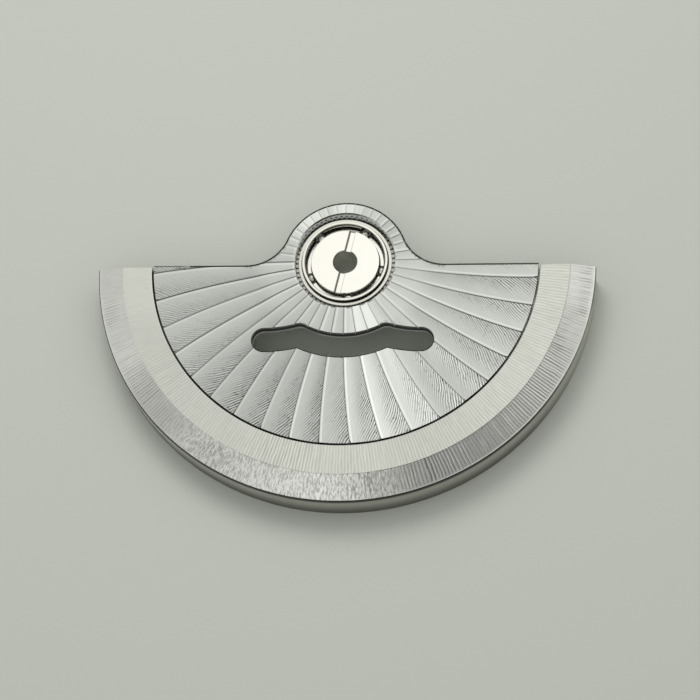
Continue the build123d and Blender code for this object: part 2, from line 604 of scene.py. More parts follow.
@dataclass(frozen=True)
class Glint:
    """A painted highlight or painted shade along a ray, from its middle and half width in degrees.

    Its gains hold on the inner and on the outer part. It holds in full over the middle half of its width, and
    fades to 0 at twice its half width.
    """

    middle: float
    half: float
    inner: float
    outer: float

    def on(self, turn: Signal, outward: Signal) -> Signal:
        """Gives the ray's painted highlight or shade on a tone, from the angle and the share of the outer
        part.
        """
        ray = Stretch(self.middle, self.half * 0.5, self.half * 1.5)
        return ray.on(turn) * ((1.0 - outward) * self.inner + outward * self.outer)


@dataclass(frozen=True)
class StripePlace:
    """Signals that say where a point of the plate lies.

    x, y, z and radius are in millimetres, and turn is in degrees. share is the way across the stripe, from 0
    after its border to 1 at the next, and number counts the stripes. nearest counts the nearest borders, and
    near is the distance past that border. near_hub is 1 round the bearing, and even is 1 in the rays where
    the stripes are evenly bright.
    """

    x: Signal
    y: Signal
    z: Signal
    radius: Signal
    turn: Signal
    share: Signal
    number: Signal
    nearest: Signal
    near: Signal
    near_hub: Signal
    even: Signal


@dataclass(frozen=True)
class Scratches:
    """Scratches ground into the far side of each stripe, which reach further across it towards the rim."""

    angle: float = 36.0
    pitch: float = 0.108
    true_radius: float = 8.6
    depth: float = 0.0040
    sway: float = 2.2
    sway_speckle: Speckle = Speckle(1.3, 1.1, 3.7)
    break_speckle: Speckle = Speckle(3.1, 2.3, 5.1)
    unbroken: Rise = Rise(0.36, 0.60, 0.45, 1.0)
    spot_speckle: Speckle = Speckle(6.5, 4.5, 2.1)
    spotted: Rise = Rise(0.58, 0.68)
    grain_speckle: Speckle = Speckle(1.0 / 0.045, 0.9, 7.3, 3.0, 0.6)
    grain_depth: float = 0.0010
    outward: Rise = Rise(4.2, 8.6)
    hub_start: float = 0.80
    hub_end: float = 1.0
    rim_start: float = 0.08
    rim_end: float = 0.88
    growth: Rise = Rise(3.4, 7.6)
    left_share: Rise = Rise(-155.0, -125.0, 0.55, 1.0)
    # The scratches are real marks; their stronger contrast near -62 degrees and the paler right side are
    # painted light.
    strong_rays: Stretch = Stretch(-62.0, 14.0, 14.0, 0.5)
    right_gain: Rise = Rise(-60.0, -40.0, 0.0, 0.045)
    comb_gain: float = 0.60
    rough_gain: float = 0.32
    spot_gain: float = 0.16
    grain_gain: float = 0.12

    def on(self, at: StripePlace, stripe: float) -> tuple[Signal, Signal, Signal]:
        """Works the scratches out from the place on the stripe.

        They run along a spiral, on which the logarithm of the radius plus the angle over the tangent of the
        scratches' own angle is constant. That sum numbers them, swayed by noise, and each one is a sine.

        Args:
            at: The place on the plate.
            stripe: Angle of a stripe, in radians.

        Returns:
            What the scratches add to the tone, their height, and where they lie, from 0 to 1.
        """
        bench = at.radius.bench
        lean = math.radians(self.angle)
        log_radius = bench.math("LOGARITHM", at.radius, math.e)
        local = at.share * stripe
        scale = self.true_radius * math.sin(lean)
        across = (log_radius + local / math.tan(lean)) * scale
        along = (log_radius / math.tan(lean) - local) * scale
        sway = self.sway_speckle.on(across, along, at.number) - 0.5
        phase = across / self.pitch + sway * self.sway
        comb = bench.math("SINE", phase * (2.0 * math.pi)) * 0.5 + 0.5
        grain = self.grain_speckle.on(across, along, at.number)
        unbroken = self.unbroken.on(self.break_speckle.on(across, along, at.number))
        spots = self.spotted.on(self.spot_speckle.on(across, along, at.number))

        outward = self.outward.on(at.radius)
        start = self.hub_start - outward * (self.hub_start - self.rim_start)
        end = self.hub_end - outward * (self.hub_end - self.rim_end)
        rough = bench.step(at.share, start, end) * self.growth.on(at.radius) * self.left_share.on(at.turn)

        hatch = (comb - 0.5) * unbroken * self.comb_gain + (grain - 0.5) * self.rough_gain
        # Real scratch marks, with painted light in their stronger contrast near -62 degrees and on the right.
        hatch = (hatch - spots * self.spot_gain) * (1.0 + self.strong_rays.on(at.turn))
        tone = (hatch + self.right_gain.on(at.turn)) * rough + (grain - 0.5) * self.grain_gain
        height = comb * unbroken * rough * self.depth + grain * self.grain_depth
        return tone, height, rough


@dataclass(frozen=True)
class StripeTones:
    """Tone of the stripes between borders: painted shade across each, and painted highlights and shade along
    rays.
    """

    base: float = 0.535
    hub_gain: float = 0.013
    # The fall is painted shade across each stripe; the glints are painted highlights and shade along rays.
    fall: Rise = Rise(0.0, 0.95, 0.0, 0.10)
    hub_flatness: float = 0.6
    even_flatness: float = 1.9
    steep_rays: Stretch = Stretch(-86.0, 12.0, 8.0, 0.7)
    cloud: Speckle = Speckle(0.9, 0.9, 1.0, 3.0)
    cloud_gain: float = 0.05
    own_gain: float = 0.04
    own_hub_gain: float = 0.03
    glints: tuple[Glint, ...] = (
        Glint(-71.0, 9.0, 0.24, 0.0),
        Glint(-74.5, 5.5, 0.0, 0.205),
        Glint(-88.0, 3.5, 0.0, 0.10),
        Glint(-63.5, 3.5, 0.0, 0.12),
        Glint(-57.0, 5.0, 0.0, 0.02),
        Glint(-56.0, 12.0, 0.0, -0.072),
        Glint(-123.0, 14.0, 0.0, -0.04),
        Glint(91.0, 8.0, 0.16, 0.0),
        Glint(127.0, 8.0, 0.13, 0.0),
        Glint(106.0, 34.0, 0.145, 0.0),
        Glint(144.0, 8.0, 0.10, 0.0),
        Glint(-10.0, 14.0, 0.03, 0.0),
        Glint(-178.0, 10.0, 0.02, 0.0),
    )

    def on(self, at: StripePlace) -> Signal:
        """Gives the base, less painted shade across the stripe, plus clouds, its own part and the painted
        rays.

        Args:
            at: The place on the plate.

        Returns:
            The tone.
        """
        # Painted shade across each stripe, steeper in some rays and flatter near the hub and in the even
        # rays.
        steepness = 1.0 - at.even * self.even_flatness + self.steep_rays.on(at.turn)
        fall = self.fall.on(at.share) * (1.0 - at.near_hub * self.hub_flatness) * steepness
        cloud = (self.cloud.on(at.x, at.y, at.z) - 0.5) * self.cloud_gain
        own = at.number.bench.chance(at.number) - 0.5
        tone = self.base + at.near_hub * self.hub_gain - fall + cloud
        tone = tone + own * (self.own_gain + at.near_hub * self.own_hub_gain)
        outward = 1.0 - at.near_hub
        for glint in self.glints:
            tone = tone + glint.on(at.turn, outward)
        return tone


@dataclass(frozen=True)
class BorderGain:
    """Strength of the borders' painted shade or highlight, and what it gains in each part of the plate."""

    base: float
    left: float
    foot: float
    top: float
    hub: float
    even: float

    def on(self, left: Signal, foot: Signal, top: Signal, hub: Signal, even: Signal) -> Signal:
        """Gives the strength from the share of each part."""
        gain = self.base + left * self.left + foot * self.foot
        return gain + top * self.top + hub * self.hub + even * self.even


@dataclass(frozen=True)
class Borders:
    """Painted shade on each border, a painted highlight after it; on the left the shade lies a little further
    on.
    """

    left_side: Rise = Rise(-140.0, -134.0, 1.0, 0.0)
    foot_rays: Stretch = Stretch(-94.0, 10.0, 30.0)
    top_rays: Stretch = Stretch(108.0, 30.0, 60.0)
    shift: float = 0.016
    left_shift: float = 0.066
    left_hub_shift: float = 0.006
    # The line is painted shade along each border; the crest is a painted highlight just after it.
    line: Rise = Rise(0.010, 0.055, 1.0, 0.0)
    line_gain: BorderGain = BorderGain(0.50, 0.32, -0.22, -0.24, -0.11, -0.30)
    crest: Stretch = Stretch(0.105, 0.012, 0.055)
    crest_gain: BorderGain = BorderGain(0.15, -0.04, 0.07, 0.0, 0.0, -0.13)
    faint_rays: Stretch = Stretch(-123.0, 8.0, 16.0, -0.08)
    faint_hub_rays: Stretch = Stretch(-69.0, 12.0, 6.0, -0.13)
    calm_rays: Stretch = Stretch(-8.0, 10.0, 14.0)
    calm_loss: float = 0.75
    own_low: float = 0.75
    own_range: float = 0.5
    own_seed: float = 50.0

    def on(self, tone: Signal, at: StripePlace) -> Signal:
        """Multiplies in each border's painted shade and adds its painted highlight, with its own strength.

        Args:
            tone: The tone of the stripes.
            at: The place on the plate.

        Returns:
            The tone with its borders.
        """
        bench = tone.bench
        left = self.left_side.on(at.turn)
        foot = self.foot_rays.on(at.turn) * (1.0 - at.near_hub)
        top = self.top_rays.on(at.turn) * at.near_hub
        parts = (left, foot, top, at.near_hub, at.even)
        further = left * (self.left_shift - at.near_hub * (self.left_shift - self.left_hub_shift))
        off = at.near - further + (1.0 - at.near_hub) * self.shift
        own = bench.chance(at.nearest + self.own_seed) * self.own_range + self.own_low
        # Painted shade along the border, then a painted highlight on the crest after it.
        line = self.line.on(bench.math("ABSOLUTE", off))
        tone = tone * (1.0 - line * self.line_gain.on(*parts) * own)
        faint = self.faint_rays.on(at.turn) + self.faint_hub_rays.on(at.turn) * at.near_hub
        calm = bench.math("MAXIMUM", top, self.calm_rays.on(at.turn) * at.near_hub)
        crest = self.crest.on(off) * (self.crest_gain.on(*parts) + faint)
        return tone + crest * (1.0 - calm * self.calm_loss) * own


@dataclass(frozen=True)
class PlateEdges:
    """Painted shade and highlights on the plate's broken edges and walls, and painted rings round its knurled
    hole.
    """

    top: float
    hole_edge: float = 2.54
    hole_teeth: int = 60
    hole_top: Stretch = Stretch(104.0, 20.0, 42.0)
    # Painted shade ring at the hole's far side and painted highlight ring at its near side.
    shade_ring: Stretch = Stretch(0.040, 0.035, 0.02)
    shade_ring_tone: float = 0.02
    highlight_ring: Stretch = Stretch(0.05, 0.03, 0.05, 0.04)
    flat: Rise = Rise(0.95, 0.985)
    step_foot: Rise = Rise(-0.034, -0.026)
    step_head: Rise = Rise(-0.002, 0.004, 1.0, 0.0)
    step_tilt: Rise = Rise(0.35, 0.5)
    by_straight_edge: Rise = Rise(-0.31, -0.29)
    past_fillet: Rise = Rise(4.4, 4.6)
    on_straight_edge: Rise = Rise(-0.245, -0.225)
    left_end: Rise = Rise(-8.3, -7.9, 1.0, 0.0)
    # Painted shade on the broken edges, the slot's walls and the hole's pits; a painted highlight on the
    # hole's edge.
    edge_shade_tone: Rise = Rise(0.2, 0.4, 0.75, 0.055)
    wall_upper: Rise = Rise(0.3, 0.6, 1.0, 0.0)
    wall_lower: Rise = Rise(-0.6, -0.3)
    slot_front: Rise = Rise(-1.5, -1.3, 1.0, 0.0)
    slot_reach: Rise = Rise(7.0, 7.2, 1.0, 0.0)
    slot_wall_shade: Rise = Rise(-0.38, -0.30, 0.62, 0.0)
    hole_side: Rise = Rise(-0.005, 0.005, 1.0, 0.0)
    hole_break_highlight: float = 0.80
    hole_break_far_shade: float = 0.60
    pit: Rise = Rise(0.0, 0.6)
    pit_band: Stretch = Stretch(-0.17, 0.05, 0.03, 0.9)

    def on(self, tone: Signal, at: StripePlace) -> tuple[Signal, Signal, Signal, Signal]:
        """Puts the edges' tones, with their painted shade and highlights, where the face isn't level.

        The narrow steps between the stripes count as level, apart from the broken straight edge. The hole's
        wall has painted shade in its pits, one to a tooth.

        Args:
            tone: The tone of the striped face.
            at: The place on the plate.

        Returns:
            The tone, and from 0 to 1 how level the face is, how dull it is, and where the hole's wall is.
        """
        bench = tone.bench
        depth, from_hole = at.z - self.top, at.radius - self.hole_edge
        # Painted shade ring round the hole's far side, painted highlight ring round its near side.
        hole_top = self.hole_top.on(at.turn)
        tone = tone + (self.shade_ring_tone - tone) * self.shade_ring.on(from_hole) * hole_top
        tone = tone + self.highlight_ring.on(from_hole) * (1.0 - hole_top)

        up = bench.upward()
        at_step = self.step_foot.on(at.near) * self.step_head.on(at.near) * self.step_tilt.on(up)
        at_step = at_step * (1.0 - self.by_straight_edge.on(at.y) * self.past_fillet.on(at.radius))
        level = bench.math("MAXIMUM", self.flat.on(up), at_step)
        level = level * (1.0 - self.on_straight_edge.on(at.y) * self.left_end.on(at.x))

        # Painted dark reflection on the broken edges; the walls and the under face stay pale.
        edge = self.edge_shade_tone.on(up)
        on_wall = self.wall_upper.on(up) * self.wall_lower.on(up)
        # Painted shade on the slot's walls, black at their head.
        in_slot = self.slot_front.on(at.y) * self.slot_reach.on(at.radius) * on_wall
        edge = edge + (self.slot_wall_shade.on(depth) - edge) * in_slot
        in_hole = self.hole_side.on(from_hole)
        # Painted shade in a pit at each tooth of the hole's wall, and a painted highlight on its broken edge.
        teeth = bench.math("COSINE", at.turn * math.radians(self.hole_teeth))
        pits = self.pit.on(teeth) * self.pit_band.on(depth)
        broken = (1.0 - on_wall) * (self.hole_break_highlight - hole_top * self.hole_break_far_shade)
        edge = edge + (broken + on_wall * (1.0 - pits) - edge) * in_hole
        hole_wall = in_hole * on_wall
        dull = bench.math("MAXIMUM", in_slot, hole_wall)
        return tone * level + (1.0 - level) * edge, level, dull, hole_wall


@dataclass(frozen=True)
class StripedFinish:
    """Plated metal with ground sunray stripes, each smooth after its border and scratched before the next."""

    top: float
    rays: Sunray = Sunray()
    light: Colour = (0.95, 0.975, 0.925)
    dark: Colour = (0.030, 0.031, 0.027)
    hub_zone: Rise = Rise(3.6, 4.8, 1.0, 0.0)
    even_rays: Stretch = Stretch(-56.0, 9.0, 8.0)
    even_hub_loss: float = 0.5
    tones: StripeTones = StripeTones()
    scratches: Scratches = Scratches()
    borders: Borders = Borders()
    roughness: float = 0.25
    scratched_roughness: float = 0.12
    dull_roughness: float = 0.3
    hole_wall_tilt: float = 0.5

    def locate(self, bench: NodeBench) -> StripePlace:
        """Works out where a point lies on the plate and on its stripe.

        Args:
            bench: The bench that builds the tree.

        Returns:
            The place.
        """
        x, y, z = bench.place()
        radius = bench.math("SQRT", x * x + y * y)
        turn = bench.math("ARCTAN2", y, x) * math.degrees(1.0)
        count = float(self.rays.count)
        stripes = self.rays.stripes(turn, radius)
        number = bench.math("FLOORED_MODULO", bench.math("FLOOR", stripes), count)
        nearest = bench.math("FLOORED_MODULO", bench.math("FLOOR", stripes + 0.5), count)
        near = (bench.math("FRACT", stripes + 0.5) - 0.5) * (radius * self.rays.pitch)
        near_hub = self.hub_zone.on(radius)
        even = self.even_rays.on(turn) * (1.0 - near_hub * self.even_hub_loss)
        share = bench.math("FRACT", stripes)
        return StripePlace(x, y, z, radius, turn, share, number, nearest, near, near_hub, even)

    def material(self) -> bpy.types.Material:
        """Builds the material from the tones, the scratches, the borders and the edges.

        Returns:
            The material.
        """
        material, bench = new_material("striped_plate")
        at = self.locate(bench)
        marks, height, rough = self.scratches.on(at, self.rays.pitch)
        # The tones, the borders and the edges carry painted shade and highlights.
        face = self.borders.on(self.tones.on(at) + marks, at)
        tone, level, dull, hole_wall = PlateEdges(self.top).on(face, at)
        bench.surface(
            {
                "Base Color": bench.blend(tone, self.dark, self.light),
                "Metallic": 1.0 - dull,
                "Roughness": self.roughness + rough * self.scratched_roughness + dull * self.dull_roughness,
                "Normal": bench.bump(height * level - at.z * (hole_wall * self.hole_wall_tilt)),
            }
        )
        return material


@dataclass(frozen=True)
class RimPlace:
    """Signals that say where a point of the weight lies.

    x, y and radius are in millimetres, depth is the height less the top's, and turn is in degrees. on_bevel
    is 1 from the bevel's head on outwards, and cloud is wide noise about 0.5.
    """

    x: Signal
    y: Signal
    depth: Signal
    radius: Signal
    turn: Signal
    on_bevel: Signal
    cloud: Signal


@dataclass(frozen=True)
class SideWallShade:
    """Painted shade and highlights on the weight's side wall.

    It is dark under the bevel, palest below it, and darker towards the foot.
    """

    fall: Rise = Rise(-2.20, -0.85, 0.24, 0.92)
    head: Rise = Rise(-0.72, -0.50, 1.0, 0.0)
    head_shade_tone: float = 0.04
    left_share: Rise = Rise(-166.0, -152.0, 0.82, 1.0)
    pale_rays: Stretch = Stretch(-145.0, 12.0, 8.0, 0.11)
    right_rays: Rise = Rise(-48.7, -8.6)
    right_tone: float = 0.98
    cloud_gain: float = 0.08
    under_bevel: Rise = Rise(-0.52, -0.42)
    under_bevel_shade: Rise = Rise(-45.0, -25.0, 0.92, 0.45)
    end_height: Rise = Rise(-1.05, -0.75)
    end_shade: Rise = Rise(-13.0, -9.0, 0.0, 0.6)

    def on(self, at: RimPlace) -> Signal:
        """Gives the wall's painted shade and highlights from the depth and the angle.

        Args:
            at: The place on the weight.

        Returns:
            The tone.
        """
        # Painted shade at the head and foot, a painted highlight below the head, changing with the angle.
        tone = self.head_shade_tone + (self.fall.on(at.depth) - self.head_shade_tone) * self.head.on(at.depth)
        tone = tone * self.left_share.on(at.turn) + (at.cloud - 0.5) * self.cloud_gain
        tone = tone * (1.0 + self.pale_rays.on(at.turn))
        tone = tone + (self.right_tone - tone) * self.right_rays.on(at.turn)
        tone = tone * (1.0 - self.under_bevel.on(at.depth) * self.under_bevel_shade.on(at.turn))
        return tone * (1.0 - self.end_height.on(at.depth) * self.end_shade.on(at.turn))


@dataclass(frozen=True)
class RimFinish:
    """Plated metal of the weight: a radially brushed band, a grooved bevel and a darker turned side wall.

    The grooves, the wall, the inner wall by the plate and the rays carry painted shade and highlights.
    """

    band_inner: float
    bevel_inner: float
    bevel_outer: float
    top: float
    line_angle: float
    band: Colour = (0.761, 0.773, 0.703)
    bevel: Colour = (0.784, 0.796, 0.749)
    side: Colour = (0.66, 0.665, 0.605)
    dark: Colour = (0.04, 0.04, 0.034)
    wall: SideWallShade = SideWallShade()
    groove_mark: str = "groove"
    base: float = 0.87
    shade: float = 0.86
    cloud: Speckle = Speckle(0.7, 0.7, 0.7, 3.0)
    cloud_gain: float = 0.10
    fine: Speckle = Speckle(260.0, 260.0, 1.8, 2.0, 0.7)
    fine_gain: float = 0.20
    fine_bevel_gain: float = 0.22
    cells: Speckle = Speckle(150.0, 150.0, 3.0, 2.0, 0.6)
    cells_gain: float = 0.10
    sway_speckle: Speckle = Speckle(90.0, 90.0, 0.9, 2.0, 0.6)
    sway: float = 1.1
    bevel_start: Rise = Rise(-0.01, 0.02)
    side_start: Rise = Rise(-0.05, -0.03)
    side_height: Rise = Rise(-0.50, -0.42, 1.0, 0.0)
    brushed: Rise = Rise(-163.3, -146.1)
    line_middle: float = 0.6
    line_gain: float = 0.06
    patch_gain: float = 0.24
    patch_base: float = 0.40
    patch_rays: Stretch = Stretch(-104.0, 4.0, 9.0, 0.75)
    patch_cells: float = 0.5
    patch_level: float = 3.3
    chips: Speckle = Speckle(165.0, 165.0, 4.5, 2.0, 0.6)
    chip_edge: Rise = Rise(0.34, 0.64)
    chip_middle: float = 0.56
    chip_gain: float = 0.58
    ragged_start: Rise = Rise(-140.4, -123.2)
    ragged_end: Rise = Rise(-85.9, -65.9, 1.0, 0.0)
    # Painted shade in the grooves, its strength changing with the angle.
    groove_shade: Rise = Rise(-155.0, -138.0, 0.32, 0.50)
    faint_grooves: Stretch = Stretch(-35.0, 7.0, 8.0, -0.22)
    right_grooves: Rise = Rise(-28.0, -14.0, 0.0, -0.16)
    bevel_gain: float = 0.07
    seam: Stretch = Stretch(0.02, 0.012, 0.023)
    seam_breaks: Rise = Rise(0.32, 0.55)
    seam_loss: Rise = Rise(-130.0, -108.0, 0.0, 0.34)
    # Painted shade low on the inner wall by the plate, and a painted highlight at its top edge.
    inner_wall: Rise = Rise(0.004, 0.02, 1.0, 0.0)
    inner_wall_shade: Rise = Rise(-0.07, -0.03, 0.85, -0.20)
    line_depth: float = 0.0016
    line_base_depth: float = 0.2
    grain_depth: float = 0.0006
    ragged_depth: float = 3.0
    roughness: float = 0.27
    side_roughness: float = 0.08
    # Painted highlights and shade along rays.
    glints: tuple[Glint, ...] = (
        Glint(-75.0, 9.0, 0.0, -0.235),
        Glint(-44.0, 7.0, 0.0, 0.10),
        Glint(-19.0, 5.5, 0.0, -0.11),
        Glint(-141.0, 6.5, 0.0, -0.11),
        Glint(-110.0, 6.0, 0.0, 0.09),
        Glint(-174.0, 9.0, 0.075, 0.0),
        Glint(-178.0, 5.0, 0.0, -0.05),
        Glint(-98.0, 14.0, 0.025, 0.0),
        Glint(-25.0, 20.0, -0.02, 0.0),
        Glint(-64.0, 9.0, -0.06, 0.0),
        Glint(-152.0, 4.0, 0.0, 0.05),
    )

    def locate(self, bench: NodeBench) -> RimPlace:
        """Works out where a point lies on the weight.

        Args:
            bench: The bench that builds the tree.

        Returns:
            The place.
        """
        x, y, z = bench.place()
        radius = bench.math("SQRT", x * x + y * y)
        turn = bench.math("ARCTAN2", y, x) * math.degrees(1.0)
        on_bevel = self.bevel_start.on(radius - self.bevel_inner)
        return RimPlace(x, y, z - self.top, radius, turn, on_bevel, self.cloud.on(x, y, z))

    def face(self, bench: NodeBench, at: RimPlace) -> tuple[Signal, Signal]:
        """Works out the tone and the height of the band and the bevel.

        The band's lines are a sine of the angle over their own angle, swayed by noise, and strong in some
        patches. The bevel has short chips in its ragged stretch, and painted shade in its grooves by their
        mark on the mesh. The glints paint highlights and shade along rays, and the inner wall by the plate
        has painted shade below a painted highlight on its eased top edge.

        Args:
            bench: The bench that builds the tree.
            at: The place on the weight.

        Returns:
            The tone and the height.
        """
        ray = (at.x / at.radius, at.y / at.radius, at.radius)
        sway = (self.sway_speckle.on(*ray) - 0.5) * self.sway
        lines = at.turn * (math.radians(1.0) / self.line_angle)
        comb = bench.math("SINE", (lines + sway) * (2.0 * math.pi)) * 0.5 + 0.5
        fine, cells = self.fine.on(*ray), self.cells.on(*ray)
        chips = self.chip_edge.on(self.chips.on(*ray)) - self.chip_middle
        on_band = 1.0 - at.on_bevel
        ragged = self.ragged_start.on(at.turn) * self.ragged_end.on(at.turn) * at.on_bevel
        patches = bench.noise(at.x * self.patch_cells, at.y * self.patch_cells, self.patch_level) - 0.5
        patches = patches + self.patch_base + self.patch_rays.on(at.turn)

        tone = self.base + (at.cloud - 0.5) * self.cloud_gain + at.on_bevel * self.bevel_gain
        tone = tone + (fine - 0.5) * (self.fine_gain + at.on_bevel * self.fine_bevel_gain)
        brushed = on_band * self.brushed.on(at.turn) * (self.line_gain + patches * self.patch_gain)
        tone = tone + (comb - self.line_middle) * brushed
        tone = tone + (cells - 0.5) * self.cells_gain + chips * ragged * self.chip_gain
        # Painted shade in the grooves by their mark on the mesh.
        loss = self.groove_shade.on(at.turn) + self.faint_grooves.on(at.turn) + self.right_grooves.on(at.turn)
        tone = tone - bench.marked(self.groove_mark) * at.on_bevel * loss
        # Painted highlights and shade along rays.
        for glint in self.glints:
            tone = tone + glint.on(at.turn, at.on_bevel)
        seam = self.seam.on(at.radius - self.bevel_inner) * self.seam_breaks.on(fine)
        tone = (tone - seam * self.seam_loss.on(at.turn)) * self.shade
        # Painted shade low on the inner wall by the plate, and a painted highlight at its top.
        inner_wall = self.inner_wall.on(at.radius - self.band_inner)
        tone = tone - inner_wall * self.inner_wall_shade.on(at.depth)

        height = comb * on_band * (self.line_base_depth + patches) * self.line_depth
        return tone, height + (fine + cells * ragged * self.ragged_depth) * self.grain_depth

    def material(self) -> bpy.types.Material:
        """Builds the material from the faces' tone and the side wall's.

        Returns:
            The material.
        """
        material, bench = new_material("weight_metal")
        at = self.locate(bench)
        tone, height = self.face(bench, at)
        on_side, below = self.side_start.on(at.radius - self.bevel_outer), self.side_height.on(at.depth)
        # The wall's tone carries painted shade and highlights.
        wall = bench.blend(self.wall.on(at), self.dark, self.side)
        face = bench.blend(tone, self.dark, bench.blend(at.on_bevel, self.band, self.bevel))
        bench.surface(
            {
                "Base Color": bench.blend(bench.math("MAXIMUM", on_side, below), face, wall),
                "Metallic": 1.0,
                "Roughness": self.roughness + on_side * self.side_roughness,
                "Normal": bench.bump(height),
            }
        )
        return material


@dataclass(frozen=True)
class ShadeZone:
    """Painted shade on a turned piece between two radii and heights, which keeps a share of its colour.

    Where the shares differ around the piece, the other two are those kept towards -Y and at the sides, so
    the painted shade changes round the piece.
    """

    inner: float
    outer: float
    below: float
    kept: float
    around: Pair | None = None
    above: float | None = None
    front: Rise = Rise(-2.0, -0.6)
    back: Rise = Rise(0.2, 1.8)
    soft: float = 0.006
    foot_soft: float = 0.03
    head_soft: float = 0.04

    def on(self, y: Signal, z: Signal, radius: Signal) -> Signal:
        """Gives the share of colour that the painted shade keeps at a place.

        Args:
            y: Distance along Y.
            z: Height.
            radius: Distance from the axis.

        Returns:
            The share.
        """
        bench = radius.bench
        outward = bench.step(radius, self.inner - self.soft, self.inner + self.soft)
        inward = bench.step(radius, self.outer - self.soft, self.outer + self.soft, 1.0, 0.0)
        kept = self.kept
        if self.around is not None:
            sides = bench.step(y, self.front.low, self.front.high, *self.around)
            kept = bench.step(y, self.back.low, self.back.high, sides, self.kept)
        loss = bench.step(z, self.below - self.foot_soft, self.below, 1.0 - kept, 0.0)
        if self.above is not None:
            loss = loss * bench.step(z, self.above - self.head_soft, self.above + self.head_soft)
        return 1.0 - outward * inward * loss


@dataclass(frozen=True)
class KnurlShade:
    """Painted shade in the gaps of a turned piece's knurl: their count, ring radius, half width and top."""

    count: int
    radius: float
    half: float
    below: float
    soft: float = 0.02
    foot_soft: float = 0.03
    pit: Rise = Rise(0.0, 0.6)
    loss: float = 0.85

    def on(self, turn: Signal, z: Signal, radius: Signal) -> Signal:
        """Gives the share the painted shade keeps at a place; each gap lies where a cosine of the angle is
        high.

        Args:
            turn: Angle about the axis, in radians.
            z: Height.
            radius: Distance from the axis.

        Returns:
            The share.
        """
        bench = radius.bench
        pits = self.pit.on(bench.math("COSINE", turn * float(self.count)))
        pits = pits * bench.hill(radius, self.radius, self.half, self.soft)
        return 1.0 - pits * bench.step(z, self.below - self.foot_soft, self.below, 1.0, 0.0) * self.loss


@dataclass(frozen=True)
class SlotShadeLine:
    """Painted shade at an edge of a straight slot: the slot's angle, the edge's place, half width, kept
    share.
    """

    angle: float
    distance: float
    half: float
    kept: float
    soft: float = 0.025

    def on(self, x: Signal, y: Signal, high: Signal) -> Signal:
        """Gives the share that the painted shade keeps at a place.

        Args:
            x: Distance along X.
            y: Distance along Y.
            high: 1 on the faces above the slot's floor.

        Returns:
            The share.
        """
        lean = math.radians(self.angle)
        off = y * math.cos(lean) - x * math.sin(lean)
        return 1.0 - x.bench.hill(off, self.distance, self.half, self.soft) * high * (1.0 - self.kept)


@dataclass(frozen=True)
class PolishedFinish:
    """Polished steel with faint turning marks about the axis, and painted shade in zones, knurls and slot
    edges.
    """

    name: str
    colour: Colour
    roughness: float
    dark: Colour = (0.03, 0.03, 0.024)
    base: float = 0.96
    mark_pitch: float = 0.03
    mark_gain: float = 0.06
    mark_depth: float = 0.00012
    smear: Speckle = Speckle(1.7, 1.7, 1.7, 3.0)
    smear_gain: float = 0.08
    smear_roughness: float = 0.05
    zones: tuple[ShadeZone, ...] = ()
    slot_shade_lines: tuple[SlotShadeLine, ...] = ()
    slot_floor: float = 0.0
    above_floor: Rise = Rise(-0.03, -0.01)
    knurl: KnurlShade | None = None

    def material(self) -> bpy.types.Material:
        """Builds the material from the radius and the height, multiplied by what each painted shade keeps.

        Returns:
            The material.
        """
        material, bench = new_material(self.name)
        x, y, z = bench.place()
        radius = bench.math("SQRT", x * x + y * y)
        marks = bench.noise(radius / self.mark_pitch, z / self.mark_pitch, 0.5)
        smear = self.smear.on(x, y, z) - 0.5
        tone = self.base + (marks - 0.5) * self.mark_gain + smear * self.smear_gain
        # Painted shade from each zone, the knurl's gaps and each slot edge.
        for zone in self.zones:
            tone = tone * zone.on(y, z, radius)
        if self.knurl is not None:
            tone = tone * self.knurl.on(bench.math("ARCTAN2", y, x), z, radius)
        for edge in self.slot_shade_lines:
            tone = tone * edge.on(x, y, self.above_floor.on(z - self.slot_floor))
        bench.surface(
            {
                "Base Color": bench.blend(tone, self.dark, self.colour),
                "Metallic": 1.0,
                "Roughness": self.roughness + smear * self.smear_roughness,
                "Normal": bench.bump(marks * self.mark_depth),
            }
        )
        return material


# Sub-assemblies


@dataclass(frozen=True)
class FrameSizes:
    """Main sizes of the rotor in millimetres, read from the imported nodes."""

    rotor_radius: float
    weight_end: float
    top: float
    foot: float
    shoulder: float
    hub_radius: float

    @classmethod
    def read(cls) -> "FrameSizes":
        """Reads the boxes of the weight and the plate.

        Returns:
            The sizes.
        """
        weight_low, weight_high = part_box("rotor_weight")
        plate_low, plate_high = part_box("rotor_plate")
        return cls(
            rotor_radius=math.hypot(weight_high.x, weight_high.y) / MM,
            weight_end=-weight_high.y / MM,
            top=weight_high.z / MM,
            foot=weight_low.z / MM,
            shoulder=plate_low.z / MM,
            hub_radius=plate_high.y / MM,
        )


def settle(piece: Piece, body: str, slot: Slot, material: bpy.types.Material, *nodes: str) -> None:
    """Gives a piece its finish and puts it in place of its CAD nodes.

    Args:
        piece: The piece.
        body: Body that it moves with.
        slot: Slot of the record that its finish belongs to; not used.
        material: Its material.
        *nodes: CAD nodes that it stands for.
    """
    piece.data.materials.append(material)
    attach(piece, body)
    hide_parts(*nodes)
    LOG.info("%s: %d faces, on %s", piece.name, len(piece.data.polygons), body)


